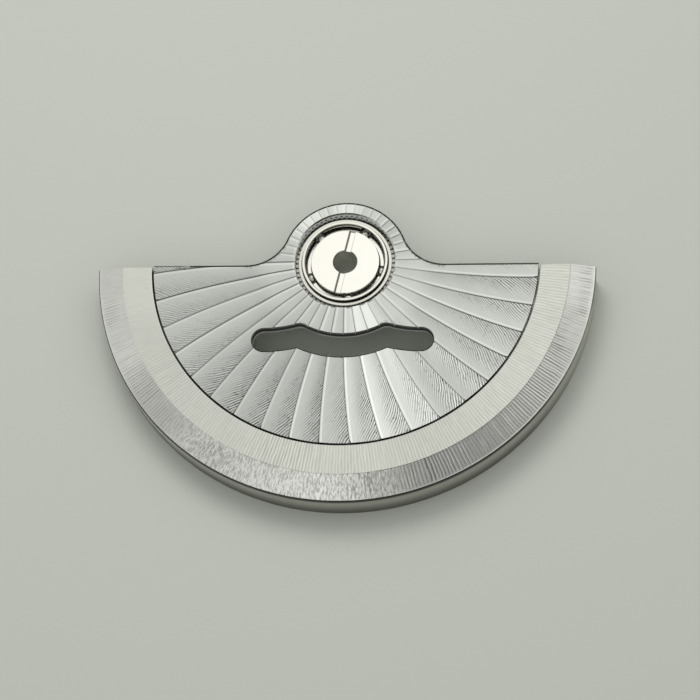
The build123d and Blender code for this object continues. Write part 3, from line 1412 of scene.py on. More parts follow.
@dataclass
class CarrierPlate:
    """Thin half-disc plate with its hub, gull-wing slot and stripes."""

    sizes: FrameSizes
    rays: Sunray = Sunray()
    radius: float = 9.66
    straight_edge: float = 0.19
    rim_break: Pair = (0.015, 0.02)
    edge_break: Pair = (0.095, 0.045)
    slot_break: Pair = (0.06, 0.045)
    hole_break: Pair = (0.012, 0.012)
    hub_fillet: float = 2.20
    hole_radius: float = 2.52
    slot_width: float = 1.18
    slot_arc_radius: float = 4.54
    slot_bend: float = 28.5
    slot_span: float = 1.73
    slot_drop: float = 0.242
    stripe_slope: float = 0.0036
    stripe_step: float = 0.022
    ring_gap: float = 0.20
    shares: tuple[float, ...] = (0.0, 0.09, 0.20, 0.33, 0.47, 0.61, 0.75, 0.88)
    point_margin: float = 0.03
    rim_points: int = 340
    straight_points: int = 40
    fillet_points: int = 40
    hub_points: int = 110
    hole_points: int = 160
    wing_outer_points: int = 20
    wing_end_points: int = 26
    wing_inner_points: int = 18
    bend_points: int = 10
    middle_inner_points: int = 44
    middle_outer_points: int = 48
    fill_reach: float = 1e-6
    weld_reach: float = 0.0005
    sharp_angle: float = 14.0

    def __post_init__(self) -> None:
        """Works out the fillet's centre and the slot's wing arc."""
        self.fillet_y = self.hub_fillet - self.straight_edge
        self.fillet_x = math.sqrt((self.sizes.hub_radius + self.hub_fillet) ** 2 - self.fillet_y**2)
        bend = math.radians(self.slot_bend)
        self.bend_x = self.slot_arc_radius * math.sin(bend)
        self.bend_y = -self.slot_arc_radius * math.cos(bend)
        self.wing_radius = (self.slot_span**2 + self.slot_drop**2) / (2.0 * self.slot_drop)
        self.wing_x = self.bend_x + self.slot_span
        self.wing_y = self.bend_y - self.slot_drop + self.wing_radius

    def outline(self, share: float) -> Array:
        """Outer edge of the plate, counter-clockwise, moved inwards by a share of its broken edge's width.

        It runs along the rim's arc, the right straight edge, the right fillet, the hub, the left fillet and
        the left straight edge. The hub's and the rim's radii lose the inset, and the hollow fillets' gain it.

        Args:
            share: 0 on the plate's side wall, 1 where the broken edge meets the striped face.

        Returns:
            The outline's points, as many for every share.
        """
        inset = share * self.edge_break[0]
        rim, hub = self.radius - share * self.rim_break[0], self.sizes.hub_radius - inset
        hollow = self.hub_fillet + inset
        edge = -self.straight_edge - inset
        end = math.degrees(math.asin(-edge / rim))
        meet = math.degrees(math.atan2(self.fillet_y, self.fillet_x))
        tip = rim * math.cos(math.radians(end))
        return np.concatenate(
            [
                arc((0, 0), rim, end - 180.0, -end, self.rim_points),
                run((tip, edge), (self.fillet_x, edge), self.straight_points),
                arc((self.fillet_x, self.fillet_y), hollow, -90.0, meet - 180.0, self.fillet_points),
                arc((0, 0), hub, meet, 180.0 - meet, self.hub_points),
                arc((-self.fillet_x, self.fillet_y), hollow, -meet, -90.0, self.fillet_points),
                run((-self.fillet_x, edge), (-tip, edge), self.straight_points),
            ]
        )

    def hole(self, share: float) -> Array:
        """Edge of the bearing's hole, clockwise, widened by a share of its broken edge's width."""
        return arc((0, 0), self.hole_radius + share * self.hole_break[0], 180.0, -180.0, self.hole_points)

    def slot(self, share: float) -> Array:
        """Edge of the gull-wing slot, clockwise, widened by a share of its broken edge's width.

        Its right half is the wing's round end, the wing's side that faces the bearing, the round over the
        bend and the middle arc's inner side. The left half mirrors it. Below, the wings' and the middle's
        outer sides meet in a corner, where the circle about the wing's centre cuts the one about the bearing.

        Args:
            share: 0 on the slot's side wall, 1 where the broken edge meets the striped face.

        Returns:
            The edge's points, as many for every share.
        """
        half = self.slot_width / 2.0 + share * self.slot_break[0]
        centre, bend = (self.wing_x, self.wing_y), (self.bend_x, self.bend_y)
        wing_end = (self.wing_x, self.wing_y - self.wing_radius)
        at_bend = math.degrees(math.atan2(self.bend_y - self.wing_y, self.bend_x - self.wing_x))
        low_wing, low_middle = self.wing_radius + half, self.slot_arc_radius + half
        apart, lean = math.hypot(*centre), math.atan2(centre[1], centre[0])
        swing = math.acos((low_middle**2 + apart**2 - low_wing**2) / (2.0 * low_middle * apart))
        corner_turn = math.degrees(lean - swing)
        corner = low_middle * math.cos(lean - swing), low_middle * math.sin(lean - swing)
        corner_on_wing = math.degrees(math.atan2(corner[1] - centre[1], corner[0] - centre[0]))
        side = np.concatenate(
            [
                arc(centre, low_wing, corner_on_wing, -90.0, self.wing_outer_points),
                arc(wing_end, half, -90.0, 90.0, self.wing_end_points),
                arc(centre, self.wing_radius - half, -90.0, at_bend, self.wing_inner_points),
                arc(bend, half, at_bend + 180.0, 90.0 + self.slot_bend, self.bend_points),
            ]
        )
        high_middle, right, left = self.slot_arc_radius - half, self.slot_bend - 90.0, -self.slot_bend - 90.0
        middle = arc((0, 0), high_middle, right, left, self.middle_inner_points)
        below = arc((0, 0), low_middle, -180.0 - corner_turn, corner_turn, self.middle_outer_points)
        mirrored = (side * (-1.0, 1.0))[::-1]
        return np.concatenate([side, middle, mirrored, below])[::-1]

    def inside(self, points: Array, share: float, further: float = -0.002) -> Array:
        """Tells which points lie on the plate, inside its broken edges.

        Args:
            points: The points to test.
            share: Share of the broken edges' widths that is left out.
            further: Distance that is left out beyond that.

        Returns:
            True for each point on the plate.
        """
        broken = (self.edge_break, self.rim_break, self.slot_break, self.hole_break)
        margin, rim_margin, slot_margin, hole_margin = (share * width + further for width, _ in broken)
        x, y = np.abs(points[:, 0]), points[:, 1]
        radius = np.hypot(x, y)
        edge = -self.straight_edge - margin
        half_disc = (radius < self.radius - rim_margin) & (y < edge)
        hub = radius < self.sizes.hub_radius - margin
        under_meet = y * self.fillet_x < x * self.fillet_y
        clear = np.hypot(x - self.fillet_x, y - self.fillet_y) > self.hub_fillet + margin
        throat = (x < self.fillet_x) & under_meet & clear & (y >= edge)
        middle_gap = np.where(
            np.arctan2(x, -y) < math.radians(self.slot_bend),
            np.abs(radius - self.slot_arc_radius),
            np.hypot(x - self.bend_x, y - self.bend_y),
        )
        wing_turn = np.arctan2(x - self.wing_x, self.wing_y - y)
        wing_start = math.atan2(self.bend_x - self.wing_x, self.wing_y - self.bend_y)
        on_wing = (wing_turn > wing_start) & (wing_turn < 0.0)
        wing_gap = np.where(
            on_wing,
            np.abs(np.hypot(x - self.wing_x, y - self.wing_y) - self.wing_radius),
            np.hypot(x - self.wing_x, y - self.wing_y + self.wing_radius),
        )
        slot_gap = np.minimum(middle_gap, wing_gap) - self.slot_width / 2.0
        clear_of_hole = radius > self.hole_radius + hole_margin
        return (half_disc | hub | throat) & clear_of_hole & (slot_gap > slot_margin)

    def relief(self, points: Array) -> Array:
        """Height of the striped face: each stripe falls evenly from its crest to the foot of the next border.

        The share of the way across a stripe runs from 0 just after a border to 1 just before the next, and
        the height is the top less that share times the radius and the slope. A narrow step takes it back.

        Args:
            points: Places on the plate.

        Returns:
            The height at each place.
        """
        radius = np.hypot(points[:, 0], points[:, 1])
        turn = np.arctan2(points[:, 1], points[:, 0])
        share = np.mod((turn - self.rays.border(radius)) / self.rays.pitch, 1.0)
        step = self.stripe_step / (self.rays.pitch * radius)
        fall = np.where(share < 1.0 - step, share / (1.0 - step), (1.0 - share) / step)
        return self.sizes.top - self.stripe_slope * radius * fall

    def stripe_points(self) -> Array:
        """Points in rings over the plate, at fixed shares of each stripe and at the foot of each border.

        Returns:
            The points that lie on the plate, clear of its edges.
        """
        first = self.hole_radius + self.hole_break[0] + self.ring_gap / 2.0
        rings = np.arange(first, self.radius - self.rim_break[0], self.ring_gap)
        foot = 1.0 - self.stripe_step / (self.rays.pitch * rings)
        shares = np.concatenate([np.tile(self.shares, (len(rings), 1)), foot[:, None]], axis=1)
        stripe = np.arange(self.rays.count)[None, :, None]
        turn = self.rays.border(rings)[:, None, None] + (stripe + shares[:, None, :]) * self.rays.pitch
        radius = np.broadcast_to(rings[:, None, None], turn.shape)
        points = np.stack([radius * np.cos(turn), radius * np.sin(turn)], -1).reshape(-1, 2)
        return points[self.inside(points, 1.0, self.point_margin)]

    def sheet(self, loops: Sequence[Array], inner: Array) -> tuple[Array, Array]:
        """Fills the plate's outline with triangles.

        Args:
            loops: Closed edges that the triangles keep to.
            inner: Further points to use.

        Returns:
            The points and the triangles, seen counter-clockwise from above.
        """
        points = np.concatenate([*loops, inner])
        edges, start = [], 0
        for loop in loops:
            ids = np.arange(len(loop)) + start
            edges += list(zip(ids.tolist(), np.roll(ids, -1).tolist()))
            start += len(loop)
        found = delaunay_2d_cdt([Vector(p) for p in points.tolist()], edges, [], 0, self.fill_reach)
        flat = np.array([tuple(v) for v in found[0]])
        triangles = np.array([tuple(f) for f in found[2]])
        middle = flat[triangles].mean(1)
        triangles = triangles[self.inside(middle, 1.0 if len(inner) else 0.0)]
        a, b, c = (flat[triangles[:, n]] for n in range(3))
        area = (b[:, 0] - a[:, 0]) * (c[:, 1] - a[:, 1]) - (b[:, 1] - a[:, 1]) * (c[:, 0] - a[:, 0])
        triangles[area < 0] = triangles[area < 0][:, ::-1]
        return flat, triangles

    def build(self) -> Piece:
        """Joins the striped face, the broken edges, the walls and the under face into one closed piece.

        Returns:
            The plate.
        """
        makers = (self.outline, self.hole, self.slot)
        drops = (self.edge_break[1], self.hole_break[1], self.slot_break[1])
        top_flat, top_faces = self.sheet([maker(1.0) for maker in makers], self.stripe_points())
        low_flat, low_faces = self.sheet([maker(0.0) for maker in makers], np.zeros((0, 2)))
        points = [
            np.column_stack([top_flat, self.relief(top_flat)]),
            np.column_stack([low_flat, np.full(len(low_flat), self.sizes.shoulder)]),
        ]
        faces = top_faces.tolist() + (low_faces[:, ::-1] + len(top_flat)).tolist()
        start = len(top_flat) + len(low_flat)
        for maker, drop in zip(makers, drops):
            upper, outer = maker(1.0), maker(0.0)
            count = len(outer)
            rows = [
                np.column_stack([upper, self.relief(upper)]),
                np.column_stack([outer, np.full(count, self.sizes.top - drop)]),
                np.column_stack([outer, np.full(count, self.sizes.shoulder)]),
            ]
            faces += (weave(3, count, False, True) + start).tolist()
            points += rows
            start += 3 * count
        piece = make_mesh("striped_carrier_plate", np.concatenate(points), faces)
        weld(piece, self.weld_reach)
        shade(piece, self.sharp_angle)
        return piece

    def place(self) -> None:
        """Builds the plate and dresses it."""
        finish = StripedFinish(self.sizes.top, self.rays)
        settle(self.build(), Body.ROTOR.value, Slot.PLATE, finish.material(), "rotor_plate")


@dataclass(frozen=True)
class Cloud:
    """Noise on a mesh, with its cells to a groove, its cells down the bevel and its seed."""

    along: float
    down: float
    seed: float

    def on(self, place: Array, share: Array) -> Array:
        """Gives the noise at each place along the grooves and share of the way down."""
        return cloudy(place * self.along, share * self.down, self.seed)


@dataclass
class RimWeight:
    """Heavy half ring with its band, grooved bevel, wall, skirt and inner ledge. Angles are in radians."""

    sizes: FrameSizes
    ledge_inner: float = 8.84
    ledge_drop: float = 0.62
    band_inner: float = 9.73
    bevel_inner: float = 11.21
    bevel_drop: float = 0.35
    skirt_inner: float = 10.85
    edge_ease: float = 0.05
    line_angle: float = 0.0145
    groove_angle: float = 0.0135
    groove_crowding: float = 0.075
    groove_depth: float = 0.009
    groove_power: float = 1.6
    wide_sway: Cloud = Cloud(0.21, 1.5, 4.2)
    wide_sway_gain: float = 0.7
    fine_sway: Cloud = Cloud(0.9, 3.0, 8.8)
    fine_sway_gain: float = 0.25
    own_seed: float = 0.7
    least_own: float = 0.30
    patch_cloud: Cloud = Cloud(0.07, 1.2, 9.1)
    patch_edge: Pair = (0.25, 0.6)
    least_patch: float = 0.45
    depth_cloud: Cloud = Cloud(0.4, 6.0, 1.7)
    least_depth: float = 0.7
    ragged_start: Pair = (-2.45, -2.2)
    ragged_end: Pair = (-1.22, -1.36)
    ragged_loss: float = 0.82
    left_end: Pair = (-3.1, -2.9)
    least_left: float = 0.25
    head_fade: Pair = (-0.01, 0.04)
    foot_fade: Pair = (1.0, 0.84)
    bevel_rows: int = 17
    columns: int = 1900
    sharp_angle: float = 40.0

    def grooves(self, turn: Array, share: Array) -> Array:
        """Depth of the bevel's grooves, from 0 to 1, at each angle and each share of the way down the bevel.

        The angle over the grooves' own angle, crowded towards both ends, numbers them. Each one's section is
        a power of a raised cosine with its own depth, swayed and faded by noise. The grooves run out before
        the bevel's foot, are faint at the left end, and are partly lost in the ragged stretch.

        Args:
            turn: Angles, as a column for each share.
            share: Shares of the way down the bevel, as a row.

        Returns:
            The depth at each angle and share.
        """
        place = (turn + self.groove_crowding * np.sin(2.0 * turn)) / self.groove_angle
        sway = self.wide_sway_gain * self.wide_sway.on(place, share)
        sway = sway + self.fine_sway_gain * self.fine_sway.on(place, share)
        number = np.floor(place + sway)
        wave = (0.5 - 0.5 * np.cos(2.0 * np.pi * (place + sway - number))) ** self.groove_power
        own = self.least_own + (1.0 - self.least_own) * scatter(number, self.own_seed)
        patch = smoothstep(*self.patch_edge, self.patch_cloud.on(place, share))
        patches = self.least_patch + (1.0 - self.least_patch) * patch
        ragged = smoothstep(*self.ragged_start, turn) * smoothstep(*self.ragged_end, turn)
        left = self.least_left + (1.0 - self.least_left) * smoothstep(*self.left_end, turn)
        kept = (1.0 - self.ragged_loss * ragged) * left
        mask = smoothstep(*self.head_fade, share) * smoothstep(*self.foot_fade, share)
        depth = self.least_depth + (1.0 - self.least_depth) * self.depth_cloud.on(place, share)
        return wave * own * patches * kept * depth * mask

    def build(self) -> Piece:
        """Turns the weight's section through the half ring, with its ends parallel to the straight edge.

        At each radius the angles run from the left end to the right end, where an end lies at the arcsine of
        its distance from the axis over the radius.

        Returns:
            The weight.
        """
        top, radius, ease = self.sizes.top, self.sizes.rotor_radius, self.edge_ease
        bevel_foot = np.array((radius, top - self.bevel_drop))
        bevel_head = np.array((self.bevel_inner, top))
        slope = (bevel_foot - bevel_head) / np.linalg.norm(bevel_foot - bevel_head)
        shares = np.linspace(0.0, 1.0, self.bevel_rows)
        bevel = bevel_head + shares[:, None] * (bevel_foot - slope * ease - bevel_head)
        ledge_foot = self.sizes.shoulder - self.ledge_drop
        rest = eased(
            [
                (self.bevel_inner, top, 0.0),
                (*bevel_foot, ease),
                (radius, self.sizes.foot, ease),
                (self.skirt_inner, self.sizes.foot, ease),
                (self.skirt_inner, ledge_foot, 0.0),
                (self.ledge_inner, ledge_foot, 0.0),
                (self.ledge_inner, self.sizes.shoulder, 0.0),
                (self.band_inner, self.sizes.shoulder, 0.0),
                (self.band_inner, top, ease),
            ]
        )[1:]
        section = np.concatenate([bevel, rest[1:]])
        base = np.arcsin(self.sizes.weight_end / section[:, 0])
        u = np.linspace(0.0, 1.0, self.columns)[:, None]
        angles = -np.pi + base + u * (np.pi - 2.0 * base)
        depth = np.zeros(angles.shape)
        depth[:, : self.bevel_rows] = self.grooves(angles[:, : self.bevel_rows], shares[None, :])
        profile = np.broadcast_to(section, (self.columns, *section.shape)).copy()
        profile[..., 0] += self.groove_depth * depth * slope[1]
        profile[..., 1] -= self.groove_depth * depth * slope[0]
        grid = lathe(profile, angles)
        grid[0, :, 1] = grid[-1, :, 1] = -self.sizes.weight_end
        count = len(section)
        faces = weave(self.columns, count, False, True).tolist()
        last = (self.columns - 1) * count
        faces.append(list(range(count)))
        faces.append(list(range(last + count - 1, last - 1, -1)))
        piece = make_mesh("grooved_rim_weight", grid.reshape(-1, 3), faces)
        shade(piece, self.sharp_angle)
        crease(piece, 0, count)
        mark = piece.data.attributes.new("groove", "FLOAT", "POINT")
        mark.data.foreach_set("value", depth.ravel())
        return piece

    def place(self) -> None:
        """Builds the weight and dresses it."""
        radius, top = self.sizes.rotor_radius, self.sizes.top
        finish = RimFinish(self.band_inner, self.bevel_inner, radius, top, self.line_angle)
        settle(self.build(), Body.ROTOR.value, Slot.WEIGHT, finish.material(), "rotor_weight")


@dataclass
class BallBearing:
    """Central bearing: toothed outer race with its lip and collar, slotted core, cone, cage and balls."""

    sizes: FrameSizes
    ball_count: int = 5
    ball_radius: float = 0.275
    pitch_radius: float = 1.85
    ball_height: float = 0.75
    start_angle: float = 60.0
    race_bore: float = 2.00
    race_bottom: float = 0.25
    groove_reach: float = 0.4243
    lip_outer: float = 2.14
    lip_stand: float = 0.02
    lip_chamfer: float = 0.03
    lip_ease: float = 0.01
    lip_outer_ease: float = 0.02
    relief_outer: float = 2.19
    relief_depth: float = 0.08
    ring_outer: float = 2.34
    ring_sink: float = 0.20
    ring_inner_ease: float = 0.015
    ring_outer_ease: float = 0.02
    collar_radius: float = 2.51
    collar_step: float = 0.14
    collar_teeth: int = 60
    collar_depth: float = 0.12
    collar_half_notch: float = 0.08
    collar_chamfer: float = 0.012
    knurl_radius: float = 2.385
    knurl_half: float = 0.028
    knurl_drop: float = 0.28
    drive_teeth: int = 60
    drive_root: float = 2.73
    drive_pitch: float = 2.86
    drive_tip: float = 2.95
    drive_half_tooth: float = 0.0749
    drive_half_tip: float = 0.025
    core_bore: float = 0.61
    core_neck: float = 1.05
    core_flange: float = 1.71
    core_height: float = 1.18
    core_ease: float = 0.03
    cone_bore: float = 1.06
    slot_width: float = 0.28
    slot_depth: float = 0.12
    slot_angle: float = 78.3
    cutter_height: float = 1.0
    cutter_margin: float = 0.5
    slot_edge_break: float = 0.02
    slot_edge_angle: float = 50.0
    cage_inner: float = 1.74
    cage_outer: float = 1.93
    cage_rise: float = 0.06
    cage_web: float = 0.10
    cage_ease: float = 0.02
    pocket_radius: float = 0.305
    race_steps: int = 180
    core_steps: int = 160
    cone_steps: int = 128
    pocket_points: int = 25
    land_points: int = 26
    ball_latitudes: int = 25
    ball_longitudes: int = 48
    weld_reach: float = 0.0002
    sharp_angle: float = 25.0

    def tooth_steps(self) -> Array:
        """Finds the angles at which the collar's or the drive teeth's outline turns, with even ones between.

        Returns:
            The angles in radians, sorted.
        """
        notch = self.collar_half_notch / self.collar_radius
        collar = np.add.outer(full_turn(self.collar_teeth), (-notch, -notch / 2, 0.0, notch / 2, notch))
        root = math.asin(self.drive_half_tooth / self.drive_root)
        pitch = math.asin(self.drive_half_tooth / self.drive_pitch)
        tip = math.asin(self.drive_half_tip / self.drive_tip)
        drive = np.add.outer(full_turn(self.drive_teeth), (-root, -pitch, -tip, tip, pitch, root))
        steps = np.concatenate([collar.ravel(), drive.ravel(), full_turn(self.race_steps)]) % (2.0 * np.pi)
        return np.unique(np.round(steps, 5))

    def collar_edge(self, turn: Array) -> Array:
        """Radius of the collar: the full radius, less a notch that deepens evenly towards each tooth gap.

        Args:
            turn: Angles in radians.

        Returns:
            The radius at each angle.
        """
        pitch = 2.0 * np.pi / self.collar_teeth
        off = np.abs((turn + pitch / 2.0) % pitch - pitch / 2.0)
        notch = self.collar_half_notch / self.collar_radius
        return self.collar_radius - self.collar_depth * np.clip(1.0 - off / notch, 0.0, 1.0)

    def drive_edge(self, turn: Array) -> Array:
        """Radius of the drive teeth: straight runs from root to pitch circle, to the tip and across it.

        Args:
            turn: Angles in radians.

        Returns:
            The radius at each angle.
        """
        pitch = 2.0 * np.pi / self.drive_teeth
        off = np.abs((turn + pitch / 2.0) % pitch - pitch / 2.0)
        places = (
            math.asin(self.drive_half_tip / self.drive_tip),
            math.asin(self.drive_half_tooth / self.drive_pitch),
            math.asin(self.drive_half_tooth / self.drive_root),
        )
        return np.interp(off, places, (self.drive_tip, self.drive_pitch, self.drive_root))

    def outer_race(self) -> Piece:
        """Turns the outer race's section, whose collar and drive teeth have a radius for each angle.

        Returns:
            The outer race.
        """
        turn = self.tooth_steps()
        top, low, high = self.sizes.top, self.race_bottom, self.sizes.shoulder
        lip, ring_top = top + self.lip_stand, top - self.ring_sink
        collar_top = ring_top - self.collar_step
        reach = self.pitch_radius + self.groove_reach
        rise = reach - self.race_bore
        ring = eased(
            [
                (self.race_bore, low, 0.0),
                (self.race_bore, self.ball_height - rise, 0.0),
                (reach, self.ball_height, 0.0),
                (self.race_bore, self.ball_height + rise, 0.0),
                (self.race_bore, lip - self.lip_chamfer, self.lip_ease),
                (self.race_bore + self.lip_chamfer, lip, self.lip_ease),
                (self.lip_outer, lip, self.lip_outer_ease),
                (self.lip_outer, ring_top - self.relief_depth, 0.0),
                (self.relief_outer, ring_top - self.relief_depth, 0.0),
                (self.relief_outer, ring_top, self.ring_inner_ease),
                (self.ring_outer, ring_top, self.ring_outer_ease),
                (self.ring_outer, collar_top, 0.0),
            ]
        )
        count = len(turn)
        collar, drive = self.collar_edge(turn), self.drive_edge(turn)
        fixed = np.broadcast_to(ring, (count, *ring.shape))
        rim = self.collar_radius - self.collar_depth
        outer = [
            (np.full(count, rim), collar_top),
            (collar - self.collar_chamfer, collar_top),
            (collar, collar_top - self.collar_chamfer),
            (collar, high),
            (np.full(count, self.collar_radius), high),
            (drive, high),
            (drive, low),
        ]
        tail = np.stack([np.column_stack([across, np.full(count, up)]) for across, up in outer], 1)
        piece = turned("toothed_outer_race", np.concatenate([fixed, tail], 1), turn)
        weld(piece, self.weld_reach)
        shade(piece, self.sharp_angle)
        return piece

    def core(self) -> Piece:
        """Turns the core's section and cuts the driver slot across its top.

        Returns:
            The core.
        """
        reach = self.pitch_radius - self.groove_reach
        face = self.ball_height + self.core_flange - reach
        section = eased(
            [
                (self.core_bore, 0.0, 0.0),
                (self.core_neck, 0.0, self.core_ease),
                (self.core_neck, self.ball_height, 0.0),
                (reach, self.ball_height, 0.0),
                (self.core_flange, face, 0.0),
                (self.core_flange, self.core_height, self.core_ease),
                (self.core_bore, self.core_height, self.core_ease),
            ]
        )
        piece = turned("slotted_core", section, full_turn(self.core_steps))
        length, half = self.core_flange + self.cutter_margin, self.slot_width / 2.0
        floor = self.core_height - self.slot_depth
        shape = np.array([(-1, -1), (1, -1), (1, 1), (-1, 1)]) * (length, half)
        turn = math.radians(self.slot_angle)
        spin = np.array([(math.cos(turn), math.sin(turn)), (-math.sin(turn), math.cos(turn))])
        corners = shape @ spin
        levels = (floor, floor + self.cutter_height)
        block = np.concatenate([np.column_stack([corners, np.full(4, level)]) for level in levels])
        sides = weave(2, 4, False, True).tolist() + [[3, 2, 1, 0], [4, 5, 6, 7]]
        cutter = make_mesh("slot_cutter", block, sides)
        cut = piece.modifiers.new("driver_slot", "BOOLEAN")
        cut.operation = "DIFFERENCE"
        cut.object = cutter
        cut.solver = "EXACT"
        soften = piece.modifiers.new("slot_edges", "BEVEL")
        soften.width = self.slot_edge_break * MM
        soften.segments = 1
        soften.limit_method = "ANGLE"
        soften.angle_limit = math.radians(self.slot_edge_angle)
        soften.use_clamp_overlap = True
        self.apply_modifiers(piece)
        bpy.data.objects.remove(cutter)
        shade(piece, self.sharp_angle)
        return piece

    @staticmethod
    def apply_modifiers(piece: Piece) -> None:
        """Replaces a piece's mesh by what its modifiers make of it.

        Args:
            piece: The piece.
        """
        graph = bpy.context.evaluated_depsgraph_get()
        mesh = bpy.data.meshes.new_from_object(piece.evaluated_get(graph))
        piece.modifiers.clear()
        piece.data = mesh

    def cone(self) -> Piece:
        """Turns the section of the cone on the core's neck.

        Returns:
            The cone.
        """
        reach = self.pitch_radius - self.groove_reach
        section = eased(
            [
                (self.cone_bore, self.ball_height, 0.0),
                (reach, self.ball_height, 0.0),
                (self.core_flange, self.ball_height - (self.core_flange - reach), 0.0),
                (self.core_flange, self.race_bottom, self.core_ease),
                (self.cone_bore, self.race_bottom, 0.0),
            ]
        )
        piece = turned("race_cone", section, full_turn(self.cone_steps))
        shade(piece)
        return piece

    def ball_angles(self) -> Array:
        """Angles of the balls at rest, in radians."""
        return math.radians(self.start_angle) + full_turn(self.ball_count)

    def cage(self) -> Piece:
        """Turns the crown cage, whose top follows the balls' pockets.

        Along the ring, the top stands at its full height between the pockets. In a pocket it is the ball's
        height less the root of the pocket's radius squared minus the distance from its middle squared.

        Returns:
            The cage.
        """
        radius, middle = self.pocket_radius, self.pitch_radius
        crown = self.ball_height + self.cage_rise
        span = np.linspace(-1.0, 1.0, self.pocket_points) * radius
        offsets = np.concatenate([[-radius], span, [radius]])
        dip = self.ball_height - np.sqrt(np.maximum(radius**2 - offsets**2, 0.0))
        dip[0] = dip[-1] = crown
        step, mouth = 2.0 * math.pi / self.ball_count, math.asin(radius / middle)
        land = np.linspace(mouth, step - mouth, self.land_points)[1:-1]
        local = np.concatenate([np.arcsin(offsets / middle), land])
        height = np.concatenate([dip, np.full(len(land), crown)])
        angles = np.add.outer(self.ball_angles(), local).ravel()
        heights = np.tile(height, self.ball_count)
        foot = np.full_like(heights, self.ball_height - radius - self.cage_web)
        ease = self.cage_ease
        rows = [
            (self.cage_inner, foot),
            (self.cage_outer, foot),
            (self.cage_outer, heights - ease),
            (self.cage_outer - ease, heights),
            (self.cage_inner + ease, heights),
            (self.cage_inner, heights - ease),
        ]
        profile = np.stack([np.column_stack([np.full(len(up), across), up]) for across, up in rows], 1)
        piece = turned("crown_cage", profile, angles)
        shade(piece)
        return piece

    def ball(self, number: int, angle: float) -> Piece:
        """One ball: its radius times the sines and cosines of a grid of latitudes and longitudes.

        Args:
            number: The ball's number.
            angle: Its angle about the axis, in radians.

        Returns:
            The ball.
        """
        latitude = np.linspace(-np.pi / 2, np.pi / 2, self.ball_latitudes)[1:-1]
        longitude = full_turn(self.ball_longitudes)
        across = self.ball_radius * np.cos(latitude)
        out = self.pitch_radius
        centre = np.array((out * math.cos(angle), out * math.sin(angle), self.ball_height))
        rings = lathe(np.column_stack([across, self.ball_radius * np.sin(latitude)]), longitude)
        poles = np.array([(0, 0, -self.ball_radius), (0, 0, self.ball_radius)])
        points = np.concatenate([rings.reshape(-1, 3), poles]) + centre
        rows, columns = len(longitude), len(latitude)
        faces = weave(rows, columns, True, False).tolist()
        first = (np.arange(rows) * columns).tolist()
        after = first[1:] + first[:1]
        south, north = rows * columns, rows * columns + 1
        faces += [[b, a, south] for a, b in zip(first, after)]
        faces += [[a + columns - 1, b + columns - 1, north] for a, b in zip(first, after)]
        piece = make_mesh(f"polished_ball_{number}", points, faces)
        piece.data.shade_smooth()
        return piece

    def ring_finish(self) -> PolishedFinish:
        """Finish of the outer race: painted shade in its bore, its relief, its collar and its knurl's gaps.

        Returns:
            The finish.
        """
        top, below = self.sizes.top, self.sizes.top - 0.1
        collar_end = self.collar_radius + 0.02
        # Painted shade: the bore's upper wall, the relief groove, a faint band on the ring, the collar
        # darkest at the back.
        zones = (
            ShadeZone(1.9, self.race_bore + 0.01, top, kept=0.12, above=top - 0.2),
            ShadeZone(self.lip_outer - 0.01, self.relief_outer, top, kept=0.06),
            ShadeZone(self.relief_outer, self.ring_outer - 0.01, below, kept=0.84),
            ShadeZone(self.ring_outer - 0.01, collar_end, below, kept=0.02, around=(0.30, 0.48)),
        )
        # Painted shade in the gaps of the collar's knurl.
        knurl = KnurlShade(self.collar_teeth, self.knurl_radius, self.knurl_half, top - self.knurl_drop)
        return PolishedFinish("bearing_ring_steel", (0.84, 0.83, 0.75), 0.20, zones=zones, knurl=knurl)

    def core_finish(self) -> PolishedFinish:
        """Finish of the core and cone: pale, with painted shade on its rim and along the driver slot's edges.

        Returns:
            The finish.
        """
        half, flange = self.slot_width / 2.0, self.core_flange
        return PolishedFinish(
            "bearing_core_steel",
            (0.97, 0.955, 0.88),
            0.24,
            # Painted shade on the flange's rim and along both edges of the driver slot.
            zones=(ShadeZone(flange - 0.05, flange + 0.05, self.core_height - 0.04, kept=0.2),),
            slot_shade_lines=(
                SlotShadeLine(self.slot_angle, half, half=0.030, kept=0.22),
                SlotShadeLine(self.slot_angle, -half - 0.02, half=0.012, kept=0.72),
            ),
            slot_floor=self.core_height - self.slot_depth,
        )

    def place(self) -> None:
        """Builds the bearing's pieces and dresses them."""
        ring, steel = self.ring_finish().material(), self.core_finish().material()
        balls = PolishedFinish("ball_steel", (0.62, 0.62, 0.58), 0.08).material()
        satin = PolishedFinish("cage_metal", (0.95, 0.94, 0.88), 0.22).material()
        settle(self.outer_race(), Body.ROTOR.value, Slot.BEARING, ring, "bearing_outer_race")
        settle(self.core(), Body.INNER.value, Slot.BEARING, steel, "bearing_core")
        settle(self.cone(), Body.INNER.value, Slot.BEARING, steel, "bearing_cone")
        settle(self.cage(), Body.CAGE.value, Slot.CAGE, satin, "ball_cage")
        for number, angle in enumerate(self.ball_angles(), start=1):
            ball = self.ball(number, float(angle))
            settle(ball, f"ball_{number}", Slot.BALL, balls, f"bearing_ball_{number}")


# Studio


@dataclass(frozen=True)
class SoftPatch:
    """A soft bright or dark patch of the studio's walls, seen in reflections and felt in the light."""

    direction: Triple
    half_angle: float
    softness: float
    gain: float


@dataclass(frozen=True)
class Lamp:
    """A round soft box that points at the rotor."""

    name: str
    direction: Triple
    distance: float
    size: float
    radiance: float


